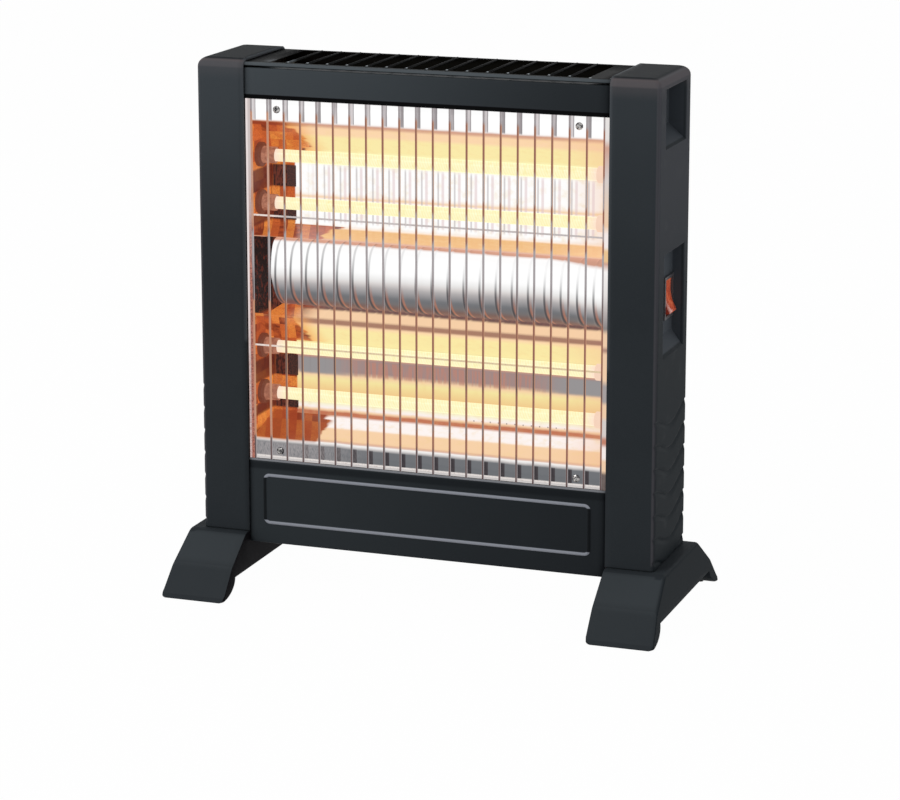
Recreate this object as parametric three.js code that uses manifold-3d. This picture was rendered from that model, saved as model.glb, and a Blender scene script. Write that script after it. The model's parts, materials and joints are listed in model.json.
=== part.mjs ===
// Free-standing quartz tube ("halogen") heater: two moulded side posts on splayed feet carry a
// sheet-metal body with a polished double-trough reflector, four heating tubes and a wire guard.
// Millimetres, +Z up, -Y is the front. The origin is on the floor, under the middle of the heater.

import * as THREE from 'three';
import { mergeGeometries, mergeVertices } from 'three/addons/utils/BufferGeometryUtils.js';
import Module from 'manifold-3d';

const wasm = await Module();
wasm.setup();

// ---------------------------------------------------------------- driving dimensions

const FIT = 0.3;               // clearance between pieces that rest on each other
const SHEET = 1;               // sheet-metal covers and chassis
const OVER = 1;                // how far a cutting tool passes a surface

// side posts
const POST_GAP = 364;          // clear width between the posts
const POST_WIDTH = 48;
const POST_DEPTH = 107;
const POST_HEIGHT = 466;
const POST_WALL = 2.6;
const POST_TOP_RADIUS = 9;
const POST_EDGE_RADIUS = 4;
const BOSS_RADIUS = 5;
const BOSS_HEIGHT = 14;

// feet
const FOOT_HEIGHT = 56;
const FOOT_LENGTH = 236;       // along Y
const FOOT_TOP_LENGTH = 118;
const FOOT_TOP_LEDGE = 13;     // how far the top stands out beyond the post's side
const FOOT_FLARE = 6;          // further outward spread at floor level
const FOOT_INNER_GAP = 0.6;    // between the foot's inner face and the post's inner face
const FOOT_CORNER_RADIUS = 3;
const FOOT_EDGE_RADIUS = 4;    // along the outer edge of the top
const SHOULDER_RADIUS = 9;
const SLOPE_RUN = 23;          // the sloped top bows outwards this far inside the toe's tip
const SLOPE_RISE = 30;
const ARCH_HEIGHT = 17;
const TOE_LENGTH = 28;
const TOE_CURL = [8, 8];       // run and drop of the curled toe's steep inner side
const TOE_LEAN = 4;
const SOLE_LENGTH = 12;
const TOE_EDGE = 4;            // upright edge at the toe's tip
const PAD_PROUD = 1;           // how far the rubber pads stand below the feet
const PAD_THICKNESS = 3;
const PAD_LENGTH = 44;
const PAD_WIDTH = 8;
const PAD_RADIUS = 3;

// handle recess and switch recess in the posts' outer sides
const HANDLE_DEPTH = 18;
const HANDLE_TOP_MARGIN = 11;
const HANDLE_HEIGHT = 57;
const RECESS_FRONT_MARGIN = 20;
const RECESS_REAR_MARGIN = 15;
const RECESS_WALL = 2.4;
const SWITCH_RECESS_DEPTH = 12;
const SWITCH_RECESS_HEIGHT = 100;
const SWITCH_RECESS_DROP = 166;  // from the post's top to the recess's upper edge
const RECESS_SLOPE = 15;         // height of the sloped lower lip
const RECESS_DRAFT = 1;          // fall of the recess's roof towards its floor

// sheet-metal body between the posts
const BODY_DEPTH = 102;
const BODY_DROP = 11;          // how far the body hangs below the posts
const TOP_SETBACK = 3;         // body top below the post tops
const GRILLE_LIP = 5.5;        // front lip of the top grille
const GRILLE_EDGE_RADIUS = 2;
const REAR_SKIRT = 19;
const SLOT_COUNT = 16;
const SLOT_PITCH = 20;
const SLOT_WIDTH = 17;
const SLOT_LENGTH = 88;
const WINDOW_DROP = 38;        // window's upper edge below the post tops
const WINDOW_HEIGHT = 354;
const LIP_RETURN = 12;
const EMBOSS_MARGIN_X = 14;
const EMBOSS_MARGIN_TOP = 14;
const EMBOSS_MARGIN_BOTTOM = 19;
const EMBOSS_RADIUS = 7;
const EMBOSS_RIM = 3;
const EMBOSS_PROUD = 0.8;
const VENT_COLUMNS = 10;
const VENT_PITCH = 30;
const VENT_WIDTH = 7;
const VENT_LENGTH = 52;
const VENT_ROWS = 3;
const VENT_ROW_PITCH = 118;
const TAB_REACH = 42;          // chassis tabs, measured inwards from the end plates
const TAB_HEIGHT = 18;
const REAR_SCREW_MARGIN = 40;  // back screws above the base plate and below the body's top

// wire guard
const WIRE = 2.2;
const WIRE_COUNT = 22;
const WIRE_PITCH = 16.76;
const FRAME_BAR = 4.8;         // width of the guard's flat side bars
const WELD = 0.25;             // how far welded wires and bars sink into each other
const GUARD_TUCK = 5;          // wire ends hidden above and below the window
const CROSS_ROD_RISES = [113, 241];  // cross rods above the window's lower edge

// reflector
const FLANGE_HEIGHT = 22;
const LOWER_FLANGE_HEIGHT = 18;
const REFLECTOR_SHEET = 0.8;
const FLANGE_OVERLAP = 1;      // flanges hidden above and below the window
const TROUGH_LIP_SETBACK = 2;  // inner edges of the troughs behind the flanges
const TROUGH_DEPTH = 55;
const TROUGH_SPACING = 189;    // upper trough to lower trough
const TROUGH_ROOF_FALL = 37;
const TROUGH_BACK = 72;
const TROUGH_FLOOR_FALL = 3;
const LOWER_FLOOR_FALL = 15;
const BULGE_RADIUS = 33;
const BULGE_SETBACK = 37;      // bulge axis behind the flanges
const BULGE_END_GAP = 15;      // bulge ends short of the end plates
const END_WINDOW_WIDTH = { left: 24, right: 18 };
const END_WINDOW_MARGIN = 2;
const END_WINDOWS = [[14, 35], [58, 68]];  // windows' edges below the top of a trough's back

// heating tubes
const TUBE_RADIUS = 6;
const TUBE_BORE_RADIUS = 4.8;
const TUBE_SPACING = 46.5;
const TUBE_FORWARD = 30;       // tube axes in front of the trough backs
const TUBE_DROP = 58.5;        // upper tube axis below the window's upper edge
const COIL_WIRE = 1;
const COIL_CURLS = 14;
const COIL_LEG = 2;
const CAP_SPIGOT_RADIUS = 6.5;
const CAP_SPIGOT = 8;
const CAP_FLANGE_RADIUS = 12;
const CAP_FLANGE = 4;
const CAP_NECK_RADIUS = 8;
const CAP_NECK = 14;
const CAP_FILLET = 1;
const CAP_LEAD_RADIUS = 1.5;
const CAP_SEAT = 2;            // ceramic left between the flange's outer face and the tube seat

// rocker switch
const SWITCH_REAR_OFFSET = 22.5; // switch centre behind the post's middle
const SWITCH_RISE = 49;        // switch centre above the recess's lower edge
const ROCKER_WIDTH = 23.5;
const ROCKER_LENGTH = 32;
const ROCKER_TIP = 7.5;        // rocker ends proud of the pivot axis
const ROCKER_DIP = 3;          // hollow in the middle of its face
const ROCKER_EDGE_RADIUS = 0.8;
const ROCKER_FACE_RADIUS = 20;
const ROCKER_SKIRT = 2;        // depth of the upright sides, measured from the pivot axis
const ROCKER_ROOT = 5;         // depth of the narrow foot behind the pivot axis
const ROCKER_ROOT_SHARE = 0.56;
const ROCKER_SLACK = 0.4;      // between the rocker and its well, each side
const ROCKER_SWEEP = 1.5;      // the same above and below, where it turns
const ROCKER_WELL = 7;         // depth of the well behind the pivot axis
const ROCKER_TILT = 10;        // degrees either way from level
const ROCKER_PIN_RADIUS = 1.5;
const ROCKER_PIN = 1;
const PIVOT_DEPTH = 3.5;       // pivot axis behind the recess floor
const BEZEL_RIM = 1.8;
const BEZEL_THICKNESS = 2;
const SWITCH_BODY_DEPTH = 18;
const SWITCH_BODY_WALL = 1.2;
const BEZEL_SEAM = 0.1;
const BLADE_LENGTH = 8;
const BLADE_WIDTH = 4.8;
const BLADE_THICKNESS = 0.8;
const BLADE_SPACING = 16;

// tip-over switch
const TILT_X = 60;
const TILT_Y = 20;
const TILT_LENGTH = 34;        // along Y
const TILT_WIDTH = 22;
const TILT_HEIGHT = 30;
const TILT_WALL = 2.5;
const PENDULUM_LENGTH = 14;
const PENDULUM_RADIUS = 5.5;
const PENDULUM_WIDTH = 12;
const PENDULUM_PIN_RADIUS = 1.5;
const PENDULUM_PIVOT_HEIGHT = 24;
const PENDULUM_ARM = 3;

// electrical pieces and wiring
const BLOCK_X = 110;
const BLOCK_Y = 5;
const BLOCK_LENGTH = 30;
const BLOCK_WIDTH = 18;
const BLOCK_HEIGHT = 12;
const TERMINAL_RADIUS = 2.4;
const TERMINAL_DEPTH = 3;
const CUTOUT_X = 20;
const CUTOUT_RADIUS = 8.5;
const CUTOUT_THICKNESS = 7;
const CUTOUT_TAB = 5;
const GLAND_X = 124;
const GLAND_HEIGHT = 30;       // above the base plate
const GLAND_RADIUS = 6.7;
const GLAND_FLANGE_RADIUS = 9.5;
const GLAND_FLANGE = 2;
const GLAND_DEPTH = 9;
const GLAND_BEVEL = 1;
const GLAND_BORE_RADIUS = 3.6;
const LEAD = 3;
const SUPPLY_LEAD = 6.4;
const LEAD_HOLE_RADIUS = 6;
const LEAD_HOLE_Y = 24;
const LEAD_HOLE_HEIGHT = 29;   // above the base plate
const LEAD_RUN = 8;            // straight start of a lead at its connection
const LEAD_BEND = 14;          // how wide a lead turns into a run
const LEAD_SAG = 4;
const LEAD_RISE = 24;          // how high a lead is carried over the tip-over switch
const LEAD_CLEAR = 16;         // how far leads hang behind the cut-out's face

// screws
const SCREW_RADIUS = 1.5;
const SCREW_HEAD_RADIUS = 3.7;
const SCREW_HEAD = 2;
const SCREW_LENGTH = 7;
const SCREW_POINT = 2;         // tapered end of a screw
const SCREW_TIP_SHARE = 0.6;   // its tip, and the flat of its head, as shares of the radius
const SCREW_RIM_SHARE = 0.45;  // upright rim of the head, as a share of its height
const CROSS_BAR = 0.9;
const CROSS_REACH_SHARE = 0.5;
const FLANGE_SCREW_SHARE = 0.45; // screws from the window's edge, as a share of the flange
const FLANGE_SCREW_GAP = 9;    // in wire gaps from the middle
const FOOT_SCREW_SPACING = 70;
const FOOT_SCREW_LENGTH = 34;
const FOOT_SCREW_RADIUS = 2;
const FOOT_SCREW_HEAD_RADIUS = 4;
const FOOT_SCREW_HEAD = 3;
const FOOT_SCREW_CLEARANCE = 0.7;
const COUNTERBORE_DEPTH = 20;
const REAR_SCREW_INSET = 22;

// ---------------------------------------------------------------- derived places

const postInner = POST_GAP / 2;
const postOuter = postInner + POST_WIDTH;
const postFront = -POST_DEPTH / 2;
const postBack = POST_DEPTH / 2;
const postBottom = FOOT_HEIGHT + FIT;
const postTop = postBottom + POST_HEIGHT;
const footInner = postInner + FOOT_INNER_GAP;
const footTopOuter = postOuter + FOOT_TOP_LEDGE;
const footOuter = footTopOuter + FOOT_FLARE;
const footMiddle = (footInner + footTopOuter) / 2;
const footBottom = PAD_PROUD;

const bodyHalf = postInner - FIT;
const bodyFront = -BODY_DEPTH / 2;
const bodyBack = BODY_DEPTH / 2;
const bodyBottom = postBottom - BODY_DROP;
const bodyTop = postTop - TOP_SETBACK;
const windowTop = postTop - WINDOW_DROP;
const windowBottom = windowTop - WINDOW_HEIGHT;
const plateOuter = bodyHalf;
const plateInner = plateOuter - SHEET;
const baseBottom = bodyBottom + SHEET + FIT;
const baseTop = baseBottom + SHEET;
const floorZ = baseTop + FIT;

const wireY = bodyFront + SHEET + FIT + WIRE / 2;
const rodY = wireY + WIRE - WELD;
const flangeFront = rodY + WIRE / 2 + FIT;
const flangeBack = flangeFront + REFLECTOR_SHEET;
const troughBack = flangeFront + TROUGH_DEPTH;
const tabFront = flangeBack + FIT;
const roofFront = windowTop - FLANGE_HEIGHT;
const troughTop = roofFront - TROUGH_ROOF_FALL;
const troughBottom = troughTop - TROUGH_BACK;
const floorFront = troughBottom - TROUGH_FLOOR_FALL;
const lowerRoofFront = roofFront - TROUGH_SPACING;
const lowerFloorFront = troughBottom - TROUGH_SPACING - LOWER_FLOOR_FALL;
const bulgeY = flangeFront + BULGE_SETBACK;
const bulgeZ = (floorFront + lowerRoofFront) / 2;

const tubeY = troughBack - TUBE_FORWARD;
const upperTubeZ = windowTop - TUBE_DROP;
const tubeHeights = [
  upperTubeZ,
  upperTubeZ - TUBE_SPACING,
  upperTubeZ - TROUGH_SPACING,
  upperTubeZ - TROUGH_SPACING - TUBE_SPACING,
];
const capFlangeFace = plateInner - FIT;
const tubeSeat = capFlangeFace - CAP_SEAT;
const tubeEnd = tubeSeat - FIT;

const recessFloor = postOuter - SWITCH_RECESS_DEPTH;
const switchRecessTop = postTop - SWITCH_RECESS_DROP;
const switchRecessBottom = switchRecessTop - SWITCH_RECESS_HEIGHT;
const switchZ = switchRecessBottom + SWITCH_RISE;
const switchY = SWITCH_REAR_OFFSET;
const pivotX = recessFloor - PIVOT_DEPTH;
const windowHalfY = ROCKER_WIDTH / 2 + ROCKER_SLACK;
const windowHalfZ = ROCKER_LENGTH / 2 + ROCKER_SWEEP;
const switchBodyHalfY = windowHalfY + SWITCH_BODY_WALL;
const switchBodyHalfZ = windowHalfZ + SWITCH_BODY_WALL;
const switchBodyBack = recessFloor - SWITCH_BODY_DEPTH;

const leadHoleZ = baseTop + LEAD_HOLE_HEIGHT;
const glandZ = baseTop + GLAND_HEIGHT;
const flangeScrewX = FLANGE_SCREW_GAP * WIRE_PITCH;
const upperScrewZ = windowTop - FLANGE_HEIGHT * FLANGE_SCREW_SHARE;
const lowerScrewZ = windowBottom + LOWER_FLANGE_HEIGHT * FLANGE_SCREW_SHARE;
const rearScrewX = bodyHalf - REAR_SCREW_INSET;
const rearScrewHeights = [baseTop + REAR_SCREW_MARGIN, bodyTop - REAR_SCREW_MARGIN];

// ---------------------------------------------------------------- materials

function standard(color, roughness, metalness = 0) {
  return new THREE.MeshStandardMaterial({ color, roughness, metalness });
}

const materials = {
  plastic: standard(0x34383c, 0.5),
  enamel: standard(0x2c3034, 0.35, 0.3),
  galvanised: standard(0x9aa0a6, 0.4, 0.9),
  polished: standard(0xe6e2da, 0.12, 1),
  chrome: standard(0xc8c8ca, 0.15, 1),
  quartz: standard(0xfff2c0, 0.1),
  filament: standard(0xff9838, 0.5, 0.6),
  ceramic: standard(0xd8cfc2, 0.7),
  switchBody: standard(0x26282b, 0.45),
  rocker: standard(0xc04a26, 0.25),
  rubber: standard(0x1c1c1e, 0.85),
  leadBrown: standard(0x6b3f28, 0.6),
  leadBlue: standard(0x2f4f86, 0.6),
};

// ---------------------------------------------------------------- solid helpers

const SCREW_SIDES = 10;
const GLAND_SIDES = 18;

// A closed geometry as a solid whose faces point outwards.
function toSolid(geometry) {
  const bare = geometry.clone();
  bare.deleteAttribute('normal');
  bare.deleteAttribute('uv');
  const merged = mergeVertices(bare, 1e-4);
  const source = merged.index.array;
  const triangles = [];
  for (let i = 0; i < source.length; i += 3) {
    const [a, b, c] = [source[i], source[i + 1], source[i + 2]];
    if (a !== b && b !== c && c !== a) triangles.push(a, b, c);
  }
  const build = (indices) => new wasm.Manifold(new wasm.Mesh({
    numProp: 3,
    vertProperties: new Float32Array(merged.attributes.position.array),
    triVerts: new Uint32Array(indices),
  }));
  const solid = build(triangles);
  return solid.volume() < 0 ? build(triangles.reverse()) : solid;
}

function toGeometry(solid) {
  const mesh = solid.getMesh();
  const geometry = new THREE.BufferGeometry();
  geometry.setAttribute('position', new THREE.BufferAttribute(mesh.vertProperties, 3));
  geometry.setIndex(new THREE.BufferAttribute(mesh.triVerts, 1));
  geometry.computeVertexNormals();
  return geometry;
}

function join(...solids) {
  return solids.reduce((sum, solid) => sum.add(solid));
}

function cut(solid, ...tools) {
  return tools.reduce((rest, tool) => rest.subtract(tool), solid);
}

function placed(solid, matrix) {
  return toSolid(toGeometry(solid).applyMatrix4(matrix));
}

function mirrored(solid) {
  return placed(solid, new THREE.Matrix4().makeScale(-1, 1, 1));
}

function moved(solid, x, y, z) {
  return placed(solid, new THREE.Matrix4().makeTranslation(x, y, z));
}

function block(x0, x1, y0, y1, z0, z1) {
  const geometry = new THREE.BoxGeometry(x1 - x0, y1 - y0, z1 - z0);
  geometry.translate((x0 + x1) / 2, (y0 + y1) / 2, (z0 + z1) / 2);
  return toSolid(geometry);
}

function extruded(shape, depth, curveSegments = 3) {
  return new THREE.ExtrudeGeometry(shape, { depth, steps: 1, bevelEnabled: false, curveSegments });
}

// A prism along X from an outline in (y, z).
function prismX(shape, x0, x1, curveSegments) {
  const toX = new THREE.Matrix4().set(0, 0, 1, x0, 1, 0, 0, 0, 0, 1, 0, 0, 0, 0, 0, 1);
  return toSolid(extruded(shape, x1 - x0, curveSegments).applyMatrix4(toX));
}

// A prism along Y from an outline in (x, z).
function prismY(shape, y0, y1, curveSegments) {
  const toY = new THREE.Matrix4().set(1, 0, 0, 0, 0, 0, -1, y1, 0, 1, 0, 0, 0, 0, 0, 1);
  return toSolid(extruded(shape, y1 - y0, curveSegments).applyMatrix4(toY));
}

// A prism along Z from an outline in (x, y).
function prismZ(shape, z0, z1, curveSegments) {
  return toSolid(extruded(shape, z1 - z0, curveSegments).translate(0, 0, z0));
}

// A closed outline through points; a point with a third value is a corner of that radius.
function outline(points) {
  const shape = new THREE.Shape();
  const count = points.length;
  points.forEach(([x, y, radius = 0], i) => {
    const corner = new THREE.Vector2(x, y);
    const toward = (j) => {
      const [px, py] = points[(j + count) % count];
      return new THREE.Vector2(px, py).sub(corner).normalize();
    };
    const before = toward(i - 1);
    const after = toward(i + 1);
    const half = before.angleTo(after) / 2;
    const back = radius ? radius / Math.tan(half) : 0;
    const start = corner.clone().addScaledVector(before, back);
    const end = corner.clone().addScaledVector(after, back);
    if (i === 0) shape.moveTo(start.x, start.y);
    else shape.lineTo(start.x, start.y);
    if (!radius) return;
    const centre = corner.clone().addScaledVector(
      before.clone().add(after).normalize(), radius / Math.sin(half));
    const a0 = Math.atan2(start.y - centre.y, start.x - centre.x);
    const a1 = Math.atan2(end.y - centre.y, end.x - centre.x);
    const clockwise = before.cross(after) > 0;
    shape.absarc(centre.x, centre.y, radius, a0, a1, clockwise);
  });
  return shape;
}

function rectangle(x0, x1, y0, y1, radius = 0) {
  return outline([[x0, y0, radius], [x1, y0, radius], [x1, y1, radius], [x0, y1, radius]]);
}

// A sheet of even thickness along an open line in (y, z), as an outline; thickness to the left.
function sheetOutline(line, thickness) {
  const normals = line.slice(1).map(([y, z], i) => {
    const [y0, z0] = line[i];
    return new THREE.Vector2(z0 - z, y - y0).normalize();
  });
  const offset = line.map(([y, z], i) => {
    const before = normals[Math.max(i - 1, 0)];
    const after = normals[Math.min(i, normals.length - 1)];
    const middle = before.clone().add(after).normalize();
    const reach = thickness / middle.dot(before);
    return [y + middle.x * reach, z + middle.y * reach];
  });
  return outline([...line, ...offset.reverse()]);
}

// A turned solid about the axis through the origin; the profile is [radius, distance] pairs.
const AXES = {
  x: new THREE.Matrix4().set(0, 1, 0, 0, 0, 0, 1, 0, 1, 0, 0, 0, 0, 0, 0, 1),
  y: new THREE.Matrix4(),
  z: new THREE.Matrix4().set(0, 0, 1, 0, 1, 0, 0, 0, 0, 1, 0, 0, 0, 0, 0, 1),
};

function turned(profile, axis, segments) {
  const points = profile.map(([radius, distance]) => new THREE.Vector2(radius, distance));
  return toSolid(new THREE.LatheGeometry(points, segments).applyMatrix4(AXES[axis]));
}

function rod(radius, from, to, axis, segments) {
  return turned([[0, from], [radius, from], [radius, to], [0, to]], axis, segments);
}

// A round tube, solid inside, along a curve.
function sweep(curve, radius, steps, sides) {
  const ring = new THREE.Shape();
  for (let i = 0; i < sides; i += 1) {
    const angle = (2 * Math.PI * i) / sides;
    const point = [radius * Math.cos(angle), radius * Math.sin(angle)];
    if (i === 0) ring.moveTo(...point);
    else ring.lineTo(...point);
  }
  return toSolid(new THREE.ExtrudeGeometry(ring, { steps, extrudePath: curve, bevelEnabled: false }));
}

// A cross-head screw along -Y with its head's seat at the origin.
function crossScrew() {
  const head = SCREW_HEAD;
  const profile = [
    [0, SCREW_LENGTH], [SCREW_RADIUS * SCREW_TIP_SHARE, SCREW_LENGTH],
    [SCREW_RADIUS, SCREW_LENGTH - SCREW_POINT], [SCREW_RADIUS, 0], [SCREW_HEAD_RADIUS, 0],
    [SCREW_HEAD_RADIUS, -head * SCREW_RIM_SHARE],
    [SCREW_HEAD_RADIUS * SCREW_TIP_SHARE, -head], [0, -head],
  ];
  const bar = CROSS_BAR / 2;
  const arm = SCREW_HEAD_RADIUS * CROSS_REACH_SHARE;
  const bottom = -head * SCREW_RIM_SHARE;
  const recess = join(
    block(-arm, arm, -head - OVER, bottom, -bar, bar),
    block(-bar, bar, -head - OVER, bottom, -arm, arm),
  );
  return cut(turned(profile, 'y', SCREW_SIDES), recess);
}

// ---------------------------------------------------------------- assembly

const heater = new THREE.Group();
heater.name = 'quartz_heater';

function group(name, parent = heater) {
  const holder = new THREE.Group();
  holder.name = name;
  parent.add(holder);
  return holder;
}

function piece(parent, name, solid, material, position = [0, 0, 0]) {
  const mesh = new THREE.Mesh(toGeometry(solid), material.clone());
  mesh.name = name;
  mesh.position.set(...position);
  parent.add(mesh);
  return mesh;
}

// ---------------------------------------------------------------- posts

// A recess in the post's outer side: an upright floor with a sloped lower lip.
function recess(depth, bottom, top, grow) {
  const floor = postOuter - depth - grow;
  const mouth = postOuter + OVER;
  const shape = outline([
    [mouth, bottom - grow - OVER * RECESS_SLOPE / depth],
    [mouth, top + grow],
    [floor, top + grow - RECESS_DRAFT],
    [floor, bottom + RECESS_SLOPE - grow],
  ]);
  const y0 = postFront + RECESS_FRONT_MARGIN - grow;
  return prismY(shape, y0, postBack - RECESS_REAR_MARGIN + grow);
}

// The post's rounded block, or its hollow when inset by the wall; both reach the inner side.
function postBlock(inset) {
  const top = postTop - inset;
  const low = postBottom + inset;
  const inner = postInner - inset;
  const front = prismY(outline([
    [inner, low], [postOuter - inset, low],
    [postOuter - inset, top, POST_TOP_RADIUS - inset], [inner, top],
  ]), postFront, postBack);
  const side = prismX(outline([
    [postFront + inset, low], [postBack - inset, low],
    [postBack - inset, top, POST_TOP_RADIUS - inset],
    [postFront + inset, top, POST_TOP_RADIUS - inset],
  ]), inner, postOuter);
  const edge = Math.max(POST_EDGE_RADIUS - inset, 0.5);
  const plan = prismZ(outline([
    [inner, postFront + inset], [postOuter - inset, postFront + inset, edge],
    [postOuter - inset, postBack - inset, edge], [inner, postBack - inset],
  ]), low, top, 2);
  return front.intersect(side).intersect(plan);
}

function postShell() {
  const body = postBlock(0);
  const hollow = postBlock(POST_WALL);
  const handleTop = postTop - HANDLE_TOP_MARGIN;
  const handle = (grow) => recess(HANDLE_DEPTH, handleTop - HANDLE_HEIGHT, handleTop, grow);
  let shell = join(cut(body, hollow), body.intersect(handle(RECESS_WALL)));
  for (const y of [-FOOT_SCREW_SPACING / 2, FOOT_SCREW_SPACING / 2]) {
    const boss = moved(rod(BOSS_RADIUS, 0, BOSS_HEIGHT, 'z', 12), footMiddle, y, postBottom);
    const pilot = moved(rod(FOOT_SCREW_RADIUS + FIT, -OVER, BOSS_HEIGHT + OVER, 'z', 12),
      footMiddle, y, postBottom);
    shell = cut(join(shell, boss), pilot);
  }
  return { body, shell: cut(shell, handle(0)) };
}

function rightPost() {
  const { body, shell } = postShell();
  const pocket = (grow) => recess(SWITCH_RECESS_DEPTH, switchRecessBottom, switchRecessTop, grow);
  const opening = block(switchBodyBack, postOuter,
    switchY - switchBodyHalfY - FIT, switchY + switchBodyHalfY + FIT,
    switchZ - switchBodyHalfZ - FIT, switchZ + switchBodyHalfZ + FIT);
  return cut(join(shell, body.intersect(pocket(RECESS_WALL))), pocket(0), opening);
}

const posts = group('posts');
piece(posts, 'right_post', rightPost(), materials.plastic);
piece(posts, 'left_post', mirrored(postShell().shell), materials.plastic);

// ---------------------------------------------------------------- feet

function footOutline() {
  const toe = FOOT_LENGTH / 2;
  const shoulder = FOOT_TOP_LENGTH / 2;
  const half = [
    [toe - TOE_LENGTH, footBottom + ARCH_HEIGHT, TOE_LEAN],
    [toe - SOLE_LENGTH - TOE_CURL[0], footBottom + TOE_CURL[1]],
    [toe - SOLE_LENGTH, footBottom],
    [toe, footBottom],
    [toe - TOE_EDGE / 2, footBottom + TOE_EDGE, TOE_EDGE / 2],
    [toe - SLOPE_RUN, SLOPE_RISE],
    [shoulder, FOOT_HEIGHT, SHOULDER_RADIUS],
  ];
  const other = half.map(([y, z, r]) => [-y, z, r]).reverse();
  return outline([...half, ...other]);
}

const padY = (FOOT_LENGTH - SOLE_LENGTH) / 2;

function rightFoot() {
  const side = prismX(footOutline(), footInner, footOuter);
  const front = prismY(outline([
    [footInner, 0], [footOuter, 0], [footTopOuter, FOOT_HEIGHT, FOOT_EDGE_RADIUS],
    [footInner, FOOT_HEIGHT],
  ]), -FOOT_LENGTH / 2, FOOT_LENGTH / 2);
  const plan = prismZ(rectangle(footInner, footOuter, -FOOT_LENGTH / 2, FOOT_LENGTH / 2,
    FOOT_CORNER_RADIUS), 0, FOOT_HEIGHT);
  let foot = side.intersect(front).intersect(plan);
  for (const sign of [-1, 1]) {
    const bore = moved(turned([
      [0, -OVER], [FOOT_SCREW_HEAD_RADIUS + FOOT_SCREW_CLEARANCE, -OVER],
      [FOOT_SCREW_HEAD_RADIUS + FOOT_SCREW_CLEARANCE, COUNTERBORE_DEPTH],
      [FOOT_SCREW_RADIUS + FIT, COUNTERBORE_DEPTH], [FOOT_SCREW_RADIUS + FIT, FOOT_HEIGHT],
      [0, FOOT_HEIGHT],
    ], 'z', 12), footMiddle, sign * FOOT_SCREW_SPACING / 2, footBottom + ARCH_HEIGHT);
    foot = cut(foot, bore, padSolid(FIT, sign * padY, -OVER));
  }
  return foot;
}

function padSolid(grow, y, bottom = 0) {
  const x0 = footMiddle - PAD_LENGTH / 2 - grow;
  const shape = rectangle(x0, x0 + PAD_LENGTH + 2 * grow,
    y - PAD_WIDTH / 2 - grow, y + PAD_WIDTH / 2 + grow, PAD_RADIUS);
  return prismZ(shape, bottom, PAD_THICKNESS + grow, 3);
}

function footScrew(y) {
  const seat = footBottom + ARCH_HEIGHT + COUNTERBORE_DEPTH - FIT;
  return moved(turned([
    [0, -FOOT_SCREW_HEAD], [FOOT_SCREW_HEAD_RADIUS, -FOOT_SCREW_HEAD],
    [FOOT_SCREW_HEAD_RADIUS, 0], [FOOT_SCREW_RADIUS, 0],
    [FOOT_SCREW_RADIUS, FOOT_SCREW_LENGTH - SCREW_POINT],
    [FOOT_SCREW_RADIUS * SCREW_TIP_SHARE, FOOT_SCREW_LENGTH], [0, FOOT_SCREW_LENGTH],
  ], 'z', 12), footMiddle, y, seat);
}

const feet = group('feet');
for (const [side, turn] of [['right', (solid) => solid], ['left', mirrored]]) {
  piece(feet, `${side}_foot`, turn(rightFoot()), materials.plastic);
  for (const [end, sign] of [['front', -1], ['rear', 1]]) {
    piece(feet, `${side}_${end}_pad`, turn(padSolid(0, sign * padY)), materials.rubber);
    const screw = footScrew(sign * FOOT_SCREW_SPACING / 2);
    piece(feet, `${side}_${end}_foot_screw`, turn(screw), materials.galvanised);
  }
}

// ---------------------------------------------------------------- sheet-metal body

function topGrille() {
  const inner = SHEET;
  const shell = prismX(outline([
    [bodyFront, bodyTop - GRILLE_LIP], [bodyFront, bodyTop, GRILLE_EDGE_RADIUS],
    [bodyBack, bodyTop, GRILLE_EDGE_RADIUS], [bodyBack, bodyTop - REAR_SKIRT],
    [bodyBack - inner, bodyTop - REAR_SKIRT], [bodyBack - inner, bodyTop - inner],
    [bodyFront + inner, bodyTop - inner], [bodyFront + inner, bodyTop - GRILLE_LIP],
  ]), -bodyHalf, bodyHalf, 3);
  const first = -SLOT_PITCH * (SLOT_COUNT - 1) / 2;
  const slots = Array.from({ length: SLOT_COUNT }, (_, i) => {
    const x = first + i * SLOT_PITCH;
    return block(x - SLOT_WIDTH / 2, x + SLOT_WIDTH / 2, -SLOT_LENGTH / 2, SLOT_LENGTH / 2,
      bodyTop - 2 * inner, bodyTop + inner);
  });
  return cut(shell, ...slots);
}

function upperFrontPanel() {
  const top = bodyTop - GRILLE_LIP - FIT;
  const face = block(-bodyHalf, bodyHalf, bodyFront, bodyFront + SHEET, windowTop, top);
  const lip = block(-plateInner + FIT, plateInner - FIT, bodyFront, bodyFront + LIP_RETURN,
    top - SHEET, top);
  return join(face, lip);
}

function lowerFrontPanel() {
  const face = block(-bodyHalf, bodyHalf, bodyFront, bodyFront + SHEET, bodyBottom, windowBottom);
  const lip = block(-bodyHalf, bodyHalf, bodyFront, bodyFront + 2 * LIP_RETURN,
    bodyBottom, bodyBottom + SHEET);
  const rim = (inset, radius) => rectangle(
    -bodyHalf + EMBOSS_MARGIN_X + inset, bodyHalf - EMBOSS_MARGIN_X - inset,
    bodyBottom + EMBOSS_MARGIN_BOTTOM + inset, windowBottom - EMBOSS_MARGIN_TOP - inset, radius);
  const emboss = cut(
    prismY(rim(0, EMBOSS_RADIUS), bodyFront - EMBOSS_PROUD, bodyFront + SHEET / 2),
    prismY(rim(EMBOSS_RIM, EMBOSS_RADIUS - EMBOSS_RIM), bodyFront - SHEET, bodyFront + SHEET),
  );
  return join(face, lip, emboss);
}

function screwHole(x, y0, y1, z) {
  return moved(rod(SCREW_RADIUS + FIT, y0, y1, 'y', SCREW_SIDES), x, 0, z);
}

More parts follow.
